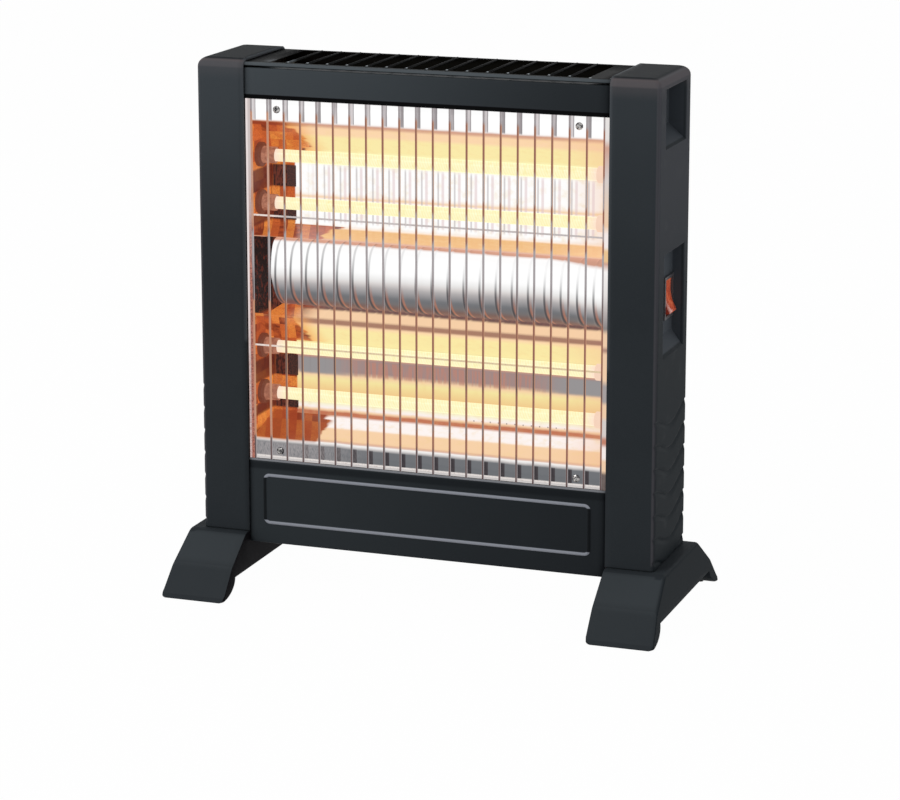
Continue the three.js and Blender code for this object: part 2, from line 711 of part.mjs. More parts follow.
function backCover() {
  const top = bodyTop - REAR_SKIRT - FIT;
  const inside = bodyBack - SHEET;
  const sheet = block(-bodyHalf, bodyHalf, inside, bodyBack, bodyBottom, top);
  const vents = [];
  const firstX = -VENT_PITCH * (VENT_COLUMNS - 1) / 2;
  const firstZ = (bodyBottom + top) / 2 - VENT_ROW_PITCH * (VENT_ROWS - 1) / 2;
  for (let row = 0; row < VENT_ROWS; row += 1) {
    for (let column = 0; column < VENT_COLUMNS; column += 1) {
      const x = firstX + column * VENT_PITCH;
      const z = firstZ + row * VENT_ROW_PITCH;
      vents.push(block(x - VENT_WIDTH / 2, x + VENT_WIDTH / 2, inside - OVER, bodyBack + OVER,
        z - VENT_LENGTH / 2, z + VENT_LENGTH / 2));
    }
  }
  const glandHole = moved(
    rod(GLAND_RADIUS + FIT, inside - OVER, bodyBack + OVER, 'y', GLAND_SIDES), GLAND_X, 0, glandZ);
  const holes = rearScrewHeights.flatMap((z) => [-rearScrewX, rearScrewX].map(
    (x) => screwHole(x, inside - OVER, bodyBack + OVER, z)));
  return cut(sheet, ...vents, glandHole, ...holes);
}

function basePlate() {
  const half = plateInner - FIT;
  return block(-half, half, bodyFront + SHEET + FIT, bodyBack - SHEET - FIT, baseBottom, baseTop);
}

function rightEndPlate() {
  const back = bodyBack - SHEET - FIT;
  const top = bodyTop - SHEET - FIT;
  let plate = block(plateInner, plateOuter, tabFront, back, baseBottom, top);
  const reach = plateOuter - TAB_REACH;
  for (const z of [upperScrewZ, lowerScrewZ]) {
    const tab = block(reach, plateOuter, tabFront, tabFront + SHEET,
      z - TAB_HEIGHT / 2, z + TAB_HEIGHT / 2);
    plate = cut(join(plate, tab), screwHole(flangeScrewX, tabFront - OVER, tabFront + SHEET + OVER, z));
  }
  for (const z of rearScrewHeights) {
    const tab = block(reach, plateOuter, back - SHEET, back, z - TAB_HEIGHT / 2, z + TAB_HEIGHT / 2);
    plate = cut(join(plate, tab), screwHole(rearScrewX, back - SHEET - OVER, back + OVER, z));
  }
  const through = (y, z, radius) => moved(
    rod(radius, plateInner - OVER, plateOuter + OVER, 'x', 12), 0, y, z);
  const capHoles = tubeHeights.map((z) => through(tubeY, z, CAP_SPIGOT_RADIUS + FIT));
  return cut(plate, ...capHoles, through(LEAD_HOLE_Y, leadHoleZ, LEAD_HOLE_RADIUS));
}

const body = group('body');
piece(body, 'top_grille', topGrille(), materials.enamel);
piece(body, 'upper_front_panel', upperFrontPanel(), materials.enamel);
piece(body, 'lower_front_panel', lowerFrontPanel(), materials.enamel);
piece(body, 'back_cover', backCover(), materials.enamel);
piece(body, 'base_plate', basePlate(), materials.galvanised);
piece(body, 'right_end_plate', rightEndPlate(), materials.galvanised);
piece(body, 'left_end_plate', mirrored(rightEndPlate()), materials.galvanised);
for (const [side, sign] of [['right', 1], ['left', -1]]) {
  for (const [level, z] of [['lower', rearScrewHeights[0]], ['upper', rearScrewHeights[1]]]) {
    const screw = placed(crossScrew(), new THREE.Matrix4().makeRotationZ(Math.PI));
    piece(body, `${side}_${level}_back_screw`, screw, materials.galvanised,
      [sign * rearScrewX, bodyBack + FIT, z]);
  }
}

// ---------------------------------------------------------------- reflector and guard

// The reflector's line in (y, z), from the upper flange down to the lower one.
function reflectorLine(withBulge) {
  const lip = flangeFront + TROUGH_LIP_SETBACK;
  const upper = [
    [flangeFront, windowTop + FLANGE_OVERLAP], [flangeFront, roofFront],
    [troughBack, troughTop], [troughBack, troughBottom], [lip, floorFront],
  ];
  const lower = [
    [lip, lowerRoofFront], [troughBack, troughTop - TROUGH_SPACING],
    [troughBack, troughBottom - TROUGH_SPACING], [flangeFront, lowerFloorFront],
    [flangeFront, windowBottom - FLANGE_OVERLAP],
  ];
  if (!withBulge) return [upper, lower];
  const arc = [];
  const steps = 12;
  for (let i = 0; i <= steps; i += 1) {
    const angle = Math.PI / 2 + (Math.PI * i) / steps;
    arc.push([bulgeY + BULGE_RADIUS * Math.cos(angle), bulgeZ + BULGE_RADIUS * Math.sin(angle)]);
  }
  return [[...upper, ...arc, ...lower]];
}

function reflector() {
  const half = plateInner - FIT;
  const bulgeHalf = plateInner - BULGE_END_GAP;
  const sheet = (line, x0, x1) => prismX(sheetOutline(line, REFLECTOR_SHEET), x0, x1);
  let whole = sheet(reflectorLine(true)[0], -bulgeHalf, bulgeHalf);
  for (const line of reflectorLine(false)) {
    whole = join(whole, sheet(line, -half, -bulgeHalf), sheet(line, bulgeHalf, half));
  }
  const windows = [];
  for (const top of [troughTop, troughTop - TROUGH_SPACING]) {
    for (const [from, to] of END_WINDOWS) {
      for (const [side, sign] of [['left', -1], ['right', 1]]) {
        const near = sign * (half - END_WINDOW_MARGIN);
        const far = near - sign * END_WINDOW_WIDTH[side];
        windows.push(block(Math.min(near, far), Math.max(near, far), troughBack - OVER,
          troughBack + REFLECTOR_SHEET + OVER, top - to, top - from));
      }
    }
  }
  const holes = [upperScrewZ, lowerScrewZ].flatMap((z) => [-flangeScrewX, flangeScrewX].map(
    (x) => screwHole(x, flangeFront - OVER, flangeBack + OVER, z)));
  return cut(whole, ...windows, ...holes);
}

function guard() {
  const low = windowBottom - GUARD_TUCK;
  const high = windowTop + GUARD_TUCK;
  const sides = 6;
  const frameX = (WIRE_COUNT - 1) * WIRE_PITCH / 2 + (WIRE + FRAME_BAR) / 2 - WELD;
  const upright = (x) => moved(rod(WIRE / 2, low, high, 'z', sides), x, wireY, 0);
  const bar = (x) => block(x - FRAME_BAR / 2, x + FRAME_BAR / 2, wireY - WIRE / 2, wireY + WIRE / 2,
    low, high);
  const cross = (z) => moved(rod(WIRE / 2, -frameX, frameX, 'x', sides), 0, rodY, z);
  let net = join(bar(-frameX), bar(frameX));
  for (let i = 0; i < WIRE_COUNT; i += 1) {
    net = join(net, upright((i - (WIRE_COUNT - 1) / 2) * WIRE_PITCH));
  }
  const heights = CROSS_ROD_RISES.map((rise) => windowBottom + rise);
  for (const z of [windowBottom + WIRE, ...heights, windowTop + WIRE]) net = join(net, cross(z));
  return net;
}

const front = group('front');
piece(front, 'reflector', reflector(), materials.polished);
piece(front, 'wire_guard', guard(), materials.chrome);
for (const [side, sign] of [['right', 1], ['left', -1]]) {
  for (const [level, z] of [['lower', lowerScrewZ], ['upper', upperScrewZ]]) {
    piece(front, `${side}_${level}_flange_screw`, crossScrew(), materials.galvanised,
      [sign * flangeScrewX, flangeFront - FIT, z]);
  }
}

// ---------------------------------------------------------------- heating tubes

function quartzTube() {
  return turned([
    [TUBE_BORE_RADIUS, -tubeEnd], [TUBE_RADIUS, -tubeEnd],
    [TUBE_RADIUS, tubeEnd], [TUBE_BORE_RADIUS, tubeEnd], [TUBE_BORE_RADIUS, -tubeEnd],
  ], 'x', 12);
}

// The right-hand ceramic cap on its tube's axis; the spigot passes through the end plate.
function ceramicCap() {
  const seat = tubeSeat;
  const flangeIn = capFlangeFace - CAP_FLANGE;
  const neckIn = flangeIn - CAP_NECK;
  const bore = TUBE_RADIUS + FIT;
  return turned([
    [CAP_LEAD_RADIUS, plateInner + CAP_SPIGOT], [CAP_SPIGOT_RADIUS, plateInner + CAP_SPIGOT],
    [CAP_SPIGOT_RADIUS, capFlangeFace], [CAP_FLANGE_RADIUS, capFlangeFace],
    [CAP_FLANGE_RADIUS, flangeIn], [CAP_NECK_RADIUS, flangeIn - CAP_FILLET],
    [CAP_NECK_RADIUS, neckIn], [bore, neckIn], [bore, seat], [CAP_LEAD_RADIUS, seat],
    [CAP_LEAD_RADIUS, plateInner + CAP_SPIGOT],
  ], 'x', 12);
}

const COIL_STEPS = 8;
const coilRadius = TUBE_BORE_RADIUS - FIT - COIL_WIRE / 2;

class CoilCurve extends THREE.Curve {
  constructor(half) {
    super();
    this.half = half;
  }

  getPoint(t, target = new THREE.Vector3()) {
    const whole = 2 * this.half;
    const x = -this.half + t * whole;
    const wound = (whole - 2 * COIL_LEG);
    const turn = Math.min(Math.max((x + this.half - COIL_LEG) / wound, 0), 1) * COIL_CURLS;
    const angle = 2 * Math.PI * turn;
    return target.set(x, coilRadius * Math.cos(angle), coilRadius * Math.sin(angle));
  }
}

function coilPoints(half) {
  const curve = new CoilCurve(half);
  const points = [curve.getPoint(0)];
  const steps = COIL_CURLS * COIL_STEPS;
  const legShare = COIL_LEG / (2 * half);
  for (let i = 0; i <= steps; i += 1) {
    points.push(curve.getPoint(legShare + (i / steps) * (1 - 2 * legShare)));
  }
  points.push(curve.getPoint(1));
  return points;
}

// One closed tube of five sides through the coil's points.
function heatingCoil(half) {
  const points = coilPoints(half);
  const sides = 5;
  const positions = [];
  const along = new THREE.Vector3(1, 0, 0);
  points.forEach((point, i) => {
    const next = points[Math.min(i + 1, points.length - 1)];
    const last = points[Math.max(i - 1, 0)];
    const tangent = next.clone().sub(last).normalize();
    const radial = new THREE.Vector3(0, point.y, point.z).normalize();
    const side = tangent.clone().cross(radial).normalize();
    const up = side.clone().cross(tangent).normalize();
    const straight = i === 0 || i === points.length - 1;
    const [u, v] = straight ? [up, along.clone().cross(up)] : [up, side.negate()];
    for (let k = 0; k < sides; k += 1) {
      const angle = (2 * Math.PI * k) / sides;
      const offset = u.clone().multiplyScalar(Math.cos(angle) * COIL_WIRE / 2)
        .addScaledVector(v, Math.sin(angle) * COIL_WIRE / 2);
      positions.push(...point.clone().add(offset).toArray());
    }
  });
  const rings = points.length;
  const index = [];
  for (let i = 0; i < rings - 1; i += 1) {
    for (let k = 0; k < sides; k += 1) {
      const a = i * sides + k;
      const b = i * sides + ((k + 1) % sides);
      index.push(a, b, b + sides, a, b + sides, a + sides);
    }
  }
  for (let k = 1; k < sides - 1; k += 1) {
    const end = (rings - 1) * sides;
    index.push(0, k + 1, k, end, end + k, end + k + 1);
  }
  const geometry = new THREE.BufferGeometry();
  geometry.setAttribute('position', new THREE.Float32BufferAttribute(positions, 3));
  geometry.setIndex(index);
  return toSolid(geometry);
}

// The least clear distance between a coil's neighbouring curls.
function leastGap(half) {
  const points = coilPoints(half);
  let least = Infinity;
  points.forEach((point, i) => {
    for (let j = i + COIL_STEPS / 2; j < points.length; j += 1) {
      least = Math.min(least, point.distanceTo(points[j]));
    }
  });
  return least - COIL_WIRE;
}

const tubes = group('tubes');
const coilHalf = tubeEnd - COIL_LEG;
tubeHeights.forEach((z, i) => {
  const number = i + 1;
  const holder = group(`tube_${number}_assembly`, tubes);
  holder.position.set(0, tubeY, z);
  piece(holder, `quartz_tube_${number}`, quartzTube(), materials.quartz);
  piece(holder, `heating_coil_${number}`, heatingCoil(coilHalf), materials.filament);
  piece(holder, `right_cap_${number}`, ceramicCap(), materials.ceramic);
  piece(holder, `left_cap_${number}`, mirrored(ceramicCap()), materials.ceramic);
});
console.log(`heating coil: least gap to itself ${leastGap(coilHalf).toFixed(2)} mm`);

// ---------------------------------------------------------------- rocker switch

// The switch housing about the rocker's pivot axis: bezel, body, pin holes and terminal blades.
function switchHousing() {
  const floor = PIVOT_DEPTH;
  const bezel = block(floor + FIT, floor + FIT + BEZEL_THICKNESS,
    -switchBodyHalfY - BEZEL_RIM, switchBodyHalfY + BEZEL_RIM,
    -switchBodyHalfZ - BEZEL_RIM, switchBodyHalfZ + BEZEL_RIM);
  const back = switchBodyBack - pivotX;
  const shell = block(back, floor + FIT + BEZEL_SEAM, -switchBodyHalfY, switchBodyHalfY,
    -switchBodyHalfZ, switchBodyHalfZ);
  const well = block(-ROCKER_WELL, floor + FIT + BEZEL_THICKNESS + OVER, -windowHalfY, windowHalfY,
    -windowHalfZ, windowHalfZ);
  const pinReach = ROCKER_WIDTH / 2 + ROCKER_PIN + FIT;
  const pinHole = rod(ROCKER_PIN_RADIUS + FIT, -pinReach, pinReach, 'y', 12);
  const blades = [-BLADE_SPACING / 2, BLADE_SPACING / 2].map((z) => block(
    back - BLADE_LENGTH, back + OVER, -BLADE_WIDTH / 2, BLADE_WIDTH / 2,
    z - BLADE_THICKNESS / 2, z + BLADE_THICKNESS / 2));
  return join(cut(join(bezel, shell), well, pinHole), ...blades);
}

// The rocker about its pivot axis, its upper end pressed in.
function rockerSolid() {
  const half = ROCKER_LENGTH / 2;
  const root = half * ROCKER_ROOT_SHARE;
  const key = prismY(outline([
    [ROCKER_TIP, half, ROCKER_EDGE_RADIUS], [ROCKER_TIP - ROCKER_DIP, 0, ROCKER_FACE_RADIUS],
    [ROCKER_TIP, -half, ROCKER_EDGE_RADIUS], [ROCKER_SKIRT, -half],
    [-ROCKER_ROOT, -root], [-ROCKER_ROOT, root], [ROCKER_SKIRT, half],
  ]), -ROCKER_WIDTH / 2, ROCKER_WIDTH / 2);
  const pinReach = ROCKER_WIDTH / 2 + ROCKER_PIN;
  const whole = join(key, rod(ROCKER_PIN_RADIUS, -pinReach, pinReach, 'y', 12));
  const tilt = THREE.MathUtils.degToRad(-ROCKER_TILT);
  return placed(whole, new THREE.Matrix4().makeRotationY(tilt));
}

const powerSwitch = group('power_switch');
powerSwitch.position.set(pivotX, switchY, switchZ);
piece(powerSwitch, 'switch_housing', switchHousing(), materials.switchBody);
piece(powerSwitch, 'rocker', rockerSolid(), materials.rocker);

// ---------------------------------------------------------------- tip-over switch

// An open-topped cup on the base plate; its side walls carry the pendulum's pin.
function tiltHousing() {
  const halfX = TILT_WIDTH / 2;
  const halfY = TILT_LENGTH / 2;
  const cup = block(-halfX, halfX, -halfY, halfY, 0, TILT_HEIGHT);
  const well = block(-halfX + TILT_WALL, halfX - TILT_WALL, -halfY + TILT_WALL, halfY - TILT_WALL,
    TILT_WALL, TILT_HEIGHT + OVER);
  const pinHole = moved(rod(PENDULUM_PIN_RADIUS + FIT, -halfX - OVER, halfX + OVER, 'x', 12),
    0, 0, PENDULUM_PIVOT_HEIGHT);
  return cut(cup, well, pinHole);
}

// The pendulum about its pivot axis.
function pendulum() {
  const half = TILT_WIDTH / 2 - FIT;
  return join(
    rod(PENDULUM_PIN_RADIUS, -half, half, 'x', 12),
    block(-PENDULUM_ARM, PENDULUM_ARM, -PENDULUM_ARM / 2, PENDULUM_ARM / 2, -PENDULUM_LENGTH, 0),
    moved(rod(PENDULUM_RADIUS, -PENDULUM_WIDTH / 2, PENDULUM_WIDTH / 2, 'x', 16),
      0, 0, -PENDULUM_LENGTH),
  );
}

const tiltSwitch = group('tilt_switch');
tiltSwitch.position.set(TILT_X, TILT_Y, floorZ);
piece(tiltSwitch, 'tilt_switch_housing', tiltHousing(), materials.switchBody);
piece(tiltSwitch, 'tilt_switch_pendulum', pendulum(), materials.galvanised,
  [0, 0, PENDULUM_PIVOT_HEIGHT]);

// ---------------------------------------------------------------- electrical pieces

const blockTop = floorZ + BLOCK_HEIGHT;

function terminalBlock() {
  const solid = block(BLOCK_X - BLOCK_LENGTH / 2, BLOCK_X + BLOCK_LENGTH / 2,
    BLOCK_Y - BLOCK_WIDTH / 2, BLOCK_Y + BLOCK_WIDTH / 2, floorZ, blockTop);
  const well = rod(TERMINAL_RADIUS, blockTop - TERMINAL_DEPTH, blockTop + OVER, 'z', 12);
  const wells = [-1, 0, 1].map((i) => moved(well, BLOCK_X + i * BLOCK_LENGTH / 3, BLOCK_Y, 0));
  return cut(solid, ...wells);
}

// Overheat cut-out: a disc thermostat against the lower trough's back, with two tabs.
const cutoutY = troughBack + REFLECTOR_SHEET + FIT;
const cutoutZ = (tubeHeights[2] + tubeHeights[3]) / 2;
const cutoutReach = CUTOUT_RADIUS + CUTOUT_TAB;
const cutoutMiddle = cutoutY + CUTOUT_THICKNESS / 2;

function thermalCutout() {
  const disc = moved(rod(CUTOUT_RADIUS, cutoutY, cutoutY + CUTOUT_THICKNESS, 'y', 20),
    CUTOUT_X, 0, cutoutZ);
  const tabs = block(CUTOUT_X - cutoutReach, CUTOUT_X + cutoutReach,
    cutoutMiddle - BLADE_THICKNESS / 2, cutoutMiddle + BLADE_THICKNESS / 2,
    cutoutZ - BLADE_WIDTH / 2, cutoutZ + BLADE_WIDTH / 2);
  return join(disc, tabs);
}

function cordGland() {
  const outer = bodyBack + FIT;
  const inner = bodyBack - GLAND_DEPTH;
  return moved(turned([
    [GLAND_BORE_RADIUS, inner], [GLAND_RADIUS, inner], [GLAND_RADIUS, outer],
    [GLAND_FLANGE_RADIUS, outer], [GLAND_FLANGE_RADIUS - GLAND_BEVEL, outer + GLAND_FLANGE],
    [GLAND_BORE_RADIUS, outer + GLAND_FLANGE], [GLAND_BORE_RADIUS, inner],
  ], 'y', GLAND_SIDES), GLAND_X, 0, glandZ);
}

const electrics = group('electrics');
piece(electrics, 'terminal_block', terminalBlock(), materials.ceramic);
piece(electrics, 'thermal_cutout', thermalCutout(), materials.galvanised);
piece(electrics, 'cord_gland', cordGland(), materials.switchBody);

// ---------------------------------------------------------------- internal wiring

const capEnd = plateInner + CAP_SPIGOT;
const busX = capEnd + FIT + LEAD / 2;
const busBottom = tubeHeights[3] - CAP_SPIGOT_RADIUS;
const busTop = tubeHeights[0] + CAP_SPIGOT_RADIUS;
const leadZ = floorZ + BLOCK_HEIGHT / 2;
const bladeX = switchBodyBack - BLADE_LENGTH / 2;
const bladeLow = switchZ - BLADE_SPACING / 2 - BLADE_THICKNESS / 2 - FIT;
const bladeHigh = switchZ + BLADE_SPACING / 2 + BLADE_THICKNESS / 2 + FIT;

function lead(points, diameter = LEAD, steps = 28) {
  const curve = new THREE.CatmullRomCurve3(points.map((point) => new THREE.Vector3(...point)),
    false, 'centripetal');
  return sweep(curve, diameter / 2, steps, 6);
}

const wiring = group('wiring');
for (const [side, sign] of [['right', 1], ['left', -1]]) {
  const bus = moved(rod(LEAD / 2, busBottom, busTop, 'z', 8), sign * busX, tubeY, 0);
  piece(wiring, `${side}_bus_lead`, bus, side === 'right' ? materials.leadBrown : materials.leadBlue);
}
piece(wiring, 'supply_lead', lead([
  [GLAND_X, bodyBack - GLAND_DEPTH - FIT, glandZ],
  [GLAND_X, bodyBack - GLAND_DEPTH - LEAD_RUN, glandZ],
  [BLOCK_X, BLOCK_Y + BLOCK_WIDTH / 2 + LEAD_RUN + FIT, leadZ + LEAD_RUN],
  [BLOCK_X, BLOCK_Y + BLOCK_WIDTH / 2 + LEAD_RUN, leadZ],
  [BLOCK_X, BLOCK_Y + BLOCK_WIDTH / 2 + FIT, leadZ],
], SUPPLY_LEAD, 14), materials.rubber);
piece(wiring, 'switch_lead', lead([
  [BLOCK_X + BLOCK_LENGTH / 2 + FIT, BLOCK_Y, leadZ],
  [BLOCK_X + BLOCK_LENGTH / 2 + LEAD_RUN, BLOCK_Y, leadZ],
  [plateInner - 2 * LEAD_RUN, LEAD_HOLE_Y - LEAD_SAG, leadHoleZ - LEAD_SAG],
  [plateOuter, LEAD_HOLE_Y, leadHoleZ],
  [bladeX - LEAD / 2, LEAD_HOLE_Y, leadHoleZ + LEAD_BEND],
  [bladeX, switchY, (leadHoleZ + bladeLow) / 2],
  [bladeX, switchY, bladeLow - LEAD_BEND],
  [bladeX, switchY, bladeLow],
]), materials.leadBrown);
piece(wiring, 'feed_lead', lead([
  [bladeX, switchY, bladeHigh],
  [bladeX, switchY, bladeHigh + LEAD_BEND],
  [bladeX, switchY - LEAD_RUN, busTop - 2 * LEAD_BEND],
  [busX, (switchY + tubeY) / 2, busTop + LEAD_BEND],
  [busX, tubeY, busTop + LEAD_RUN],
  [busX, tubeY, busTop + FIT],
]), materials.leadBrown);
piece(wiring, 'cutout_lead', lead([
  [BLOCK_X - BLOCK_LENGTH / 2 - FIT, BLOCK_Y, leadZ],
  [BLOCK_X - BLOCK_LENGTH / 2 - LEAD_RUN, BLOCK_Y, leadZ],
  [TILT_X + TILT_WIDTH / 2 + LEAD_RUN, TILT_Y + LEAD_RUN, leadZ + LEAD_RISE],
  [CUTOUT_X + 3 * cutoutReach, cutoutY + LEAD_CLEAR, (leadZ + cutoutZ) / 2],
  [CUTOUT_X + cutoutReach + LEAD_BEND, cutoutMiddle, cutoutZ],
  [CUTOUT_X + cutoutReach + FIT, cutoutMiddle, cutoutZ],
]), materials.leadBlue);
piece(wiring, 'return_lead', lead([
  [CUTOUT_X - cutoutReach - FIT, cutoutMiddle, cutoutZ],
  [CUTOUT_X - cutoutReach - LEAD_BEND, cutoutMiddle, cutoutZ],
  [CUTOUT_X - 6 * cutoutReach, cutoutY + LEAD_CLEAR, leadHoleZ + LEAD_RISE + LEAD_CLEAR],
  [-plateInner + LEAD_RISE, LEAD_HOLE_Y, leadHoleZ + LEAD_SAG],
  [-plateInner + LEAD_RUN, LEAD_HOLE_Y, leadHoleZ],
  [-plateOuter - LEAD, LEAD_HOLE_Y, leadHoleZ],
  [-busX, LEAD_HOLE_Y - LEAD_BEND, leadHoleZ + LEAD_BEND],
  [-busX, tubeY, busBottom - 3 * LEAD_BEND],
  [-busX, tubeY, busBottom - FIT],
]), materials.leadBlue);

export default heater;
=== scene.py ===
"""Looks of a free-standing quartz tube heater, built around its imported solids.

+Z is up and -Y the front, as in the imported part. The pieces' sizes are written in millimetres:
make_piece() and mm() turn them into metres, and a shader's x, y and z are in millimetres too.
Only the floor, the lamps and the camera are placed in metres.
"""

import json
import math

import bpy
import numpy as np
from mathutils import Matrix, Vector


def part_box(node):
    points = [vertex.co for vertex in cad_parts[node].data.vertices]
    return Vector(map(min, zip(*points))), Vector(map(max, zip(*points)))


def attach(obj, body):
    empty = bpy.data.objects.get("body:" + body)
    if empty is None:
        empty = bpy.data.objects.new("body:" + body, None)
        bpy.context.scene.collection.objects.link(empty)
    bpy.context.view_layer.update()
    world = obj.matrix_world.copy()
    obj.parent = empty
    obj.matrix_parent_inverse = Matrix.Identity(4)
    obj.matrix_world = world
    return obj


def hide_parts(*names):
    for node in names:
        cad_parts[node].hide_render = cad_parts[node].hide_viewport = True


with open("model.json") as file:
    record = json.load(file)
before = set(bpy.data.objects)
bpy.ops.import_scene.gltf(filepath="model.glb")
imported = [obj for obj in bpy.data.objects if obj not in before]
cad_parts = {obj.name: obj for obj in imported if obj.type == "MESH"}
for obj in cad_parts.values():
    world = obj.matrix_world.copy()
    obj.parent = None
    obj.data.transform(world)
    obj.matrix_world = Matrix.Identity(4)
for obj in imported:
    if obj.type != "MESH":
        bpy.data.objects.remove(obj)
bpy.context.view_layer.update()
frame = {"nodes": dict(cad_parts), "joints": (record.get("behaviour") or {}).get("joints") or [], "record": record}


def mm(*values):
    """Millimetres as metres: one number, or a tuple of several."""
    return values[0] / 1000 if len(values) == 1 else tuple(v / 1000 for v in values)


# ---------------------------------------------------------------- places, from the solids' boxes


def in_mm(place):
    """A place of the frame in millimetres, to the nearest hundredth."""
    return [round(along * 1000, 2) for along in place]


def corners(node_name):
    """A node's lowest and highest corners."""
    low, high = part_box(node_name)
    return in_mm(low), in_mm(high)


def middle_of(node_name):
    """The middle of a node's box."""
    return [round((low + high) / 2, 2) for low, high in zip(*corners(node_name))]


(POST_INNER, _, POST_BOTTOM), (POST_OUTER, POST_HALF_DEPTH, POST_TOP) = corners("right_post")
(FOOT_INNER, _, _), (_, FOOT_HALF_LENGTH, FOOT_HEIGHT) = corners("right_foot")
(_, _, BODY_BOTTOM), (BODY_HALF, _, WINDOW_BOTTOM) = corners("lower_front_panel")
(_, _, WINDOW_TOP), _ = corners("upper_front_panel")
(_, BODY_FRONT, GRILLE_FOOT), (_, BODY_BACK, BODY_TOP) = corners("top_grille")
(_, FLANGE_FRONT, SHEET_FOOT), (REFLECTOR_HALF, _, SHEET_HEAD) = corners("reflector")
TUBE_HEIGHTS = [middle_of("quartz_tube_%d" % number)[2] for number in range(1, 5)]
_, TUBE_Y, _ = middle_of("quartz_tube_1")
_, (TUBE_END, _, _) = corners("quartz_tube_1")
PINS = {joint["name"]: in_mm(joint["pos_m"]) for joint in frame["joints"]}
PIVOT = PINS["rocker_tilt"]


# ---------------------------------------------------------------- sizes, as in the solids

POST_TOP_RADIUS, POST_EDGE_RADIUS, POST_WALL = 9.0, 4.0, 2.6
RECESS_FRONT, RECESS_REAR, LIP_SLOPE = -33.5, 38.5, 15.0
GRIP_BOTTOM, GRIP_TOP, GRIP_DEPTH = 454.3, 511.3, 18.0
SWITCH_BOTTOM, SWITCH_TOP, SWITCH_DEPTH = 256.3, 356.3, 12.0
SWITCH_HOLE_HALF_WIDTH, SWITCH_HOLE_HALF_HEIGHT = 12.6, 19.0
FOOT_TOP_OUTER, FOOT_OUTER = 243.0, 249.0
PLATE_INNER, TROUGH_BACK = 180.7, 9.75
TUBE_RADIUS, TUBE_BORE = 6.0, 4.8
WIRE_Y, ROD_Y = -48.6, -46.65
WIRE_PITCH, WIRE_COUNT, WIRE_RADIUS, ROD_RADIUS = 16.76, 22, 1.1, 0.9
FRAME_BAR_X, FRAME_BAR_WIDTH, GUARD_OVERHANG = 179.23, 4.8, 5.0
CROSS_ROD_HEIGHTS = (132.5, 243.3, 371.3, 486.5)
RIM_X, RIM_LOW, RIM_HIGH = 167.7, 64.3, 116.3
RIM_RADIUS, RIM_WIDTH, RIM_PROUD = 7.0, 4.2, 1.0
GRILLE_LIP, SHEET_WALL = 3.6, 0.9
SLOT_COUNT, SLOT_PITCH, SLOT_WIDTH, SLOT_HALF_LENGTH = 16, 20.0, 17.0, 44.0


# ---------------------------------------------------------------- meshes


def grid_faces(rows, columns, wrap=False):
    """Quads between a grid's points, stored row by row; wrap joins the last column to the first."""
    across = columns if wrap else columns - 1
    row, column = np.meshgrid(np.arange(rows - 1), np.arange(across), indexing="ij")
    beside = (column + 1) % columns
    low, high = row * columns, (row + 1) * columns
    quads = np.stack([low + column, low + beside, high + beside, high + column], -1)
    return quads.reshape(-1, 4)


def make_piece(name, shape, slot, node_name, material=None, body="heater", flip=False, uv=None,
               crease=35):
    """The mesh object of (points, faces) that stands for a CAD node, smooth up to a crease angle."""
    points, faces = shape
    mesh = bpy.data.meshes.new(name)
    points = np.asarray(points, float).reshape(-1, 3) / 1000
    faces = [list(face)[::-1] if flip else list(face) for face in faces]
    mesh.from_pydata(points.tolist(), [], faces)
    if uv is not None:
        layer = mesh.uv_layers.new(name="along")
        corner = np.zeros(len(mesh.loops), np.int32)
        mesh.loops.foreach_get("vertex_index", corner)
        layer.data.foreach_set("uv", np.asarray(uv, float).reshape(-1, 2)[corner].ravel())
    mesh.polygons.foreach_set("use_smooth", np.ones(len(mesh.polygons), bool))
    mesh.set_sharp_from_angle(angle=math.radians(crease))
    mesh.materials.append(material or MATERIALS[slot])
    made = bpy.data.objects.new(name, mesh)
    bpy.context.scene.collection.objects.link(made)
    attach(made, body)
    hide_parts(node_name)
    return made


def thicken(piece, thickness):
    """Gives an open skin its wall, inwards from its outer face."""
    solidify = piece.modifiers.new("wall", "SOLIDIFY")
    solidify.thickness = mm(thickness)
    solidify.offset = -1


def steps(low, high, pitch, *clusters):
    """Grid lines from low to high: evenly spaced, and denser lists where a shape needs them."""
    even = np.linspace(low, high, max(2, int(round((high - low) / pitch)) + 1))
    lines = np.concatenate([even, *clusters])
    lines = np.unique(np.round(lines[(lines >= low) & (lines <= high)], 3))
    keep = np.concatenate([[True], np.diff(lines) > 0.04])
    return lines[keep]


def turned(profile, sides, axis="x"):
    """A closed surface of revolution: (radius, distance) pairs turned about an axis."""
    profile = np.asarray(profile, float)
    angle = np.linspace(0, 2 * np.pi, sides, endpoint=False)
    radius, along = profile[:, :1], np.repeat(profile[:, 1:], sides, 1)
    a, b = radius * np.cos(angle), radius * np.sin(angle)
    order = {"x": (along, a, b), "y": (b, along, a), "z": (a, b, along)}[axis]
    return np.stack(order, -1).reshape(-1, 3), grid_faces(len(profile), sides, wrap=True)


def joined(*shapes):
    """Several (points, faces) shapes as one."""
    starts = np.cumsum([0] + [len(points) for points, _ in shapes])
    faces = [faces + start for (_, faces), start in zip(shapes, starts)]
    return np.concatenate([points for points, _ in shapes]), np.concatenate(faces)


def moved(shape, x=0, y=0, z=0):
    """A shape, shifted."""
    points, faces = shape
    return points + (x, y, z), faces


def mirrored(shape):
    """A shape on the other side; its faces then need a flip."""
    points, faces = shape
    return points * (-1, 1, 1), faces


def bent_sheet(line, x):
    """A (y, z) line carried along X, at each of the places in x."""
    y, z = np.asarray(line).T[:, :, None]
    points = np.stack([np.broadcast_to(x, (len(y), len(x))), y + 0 * x, z + 0 * x], -1)
    return points.reshape(-1, 3), grid_faces(len(y), len(x))


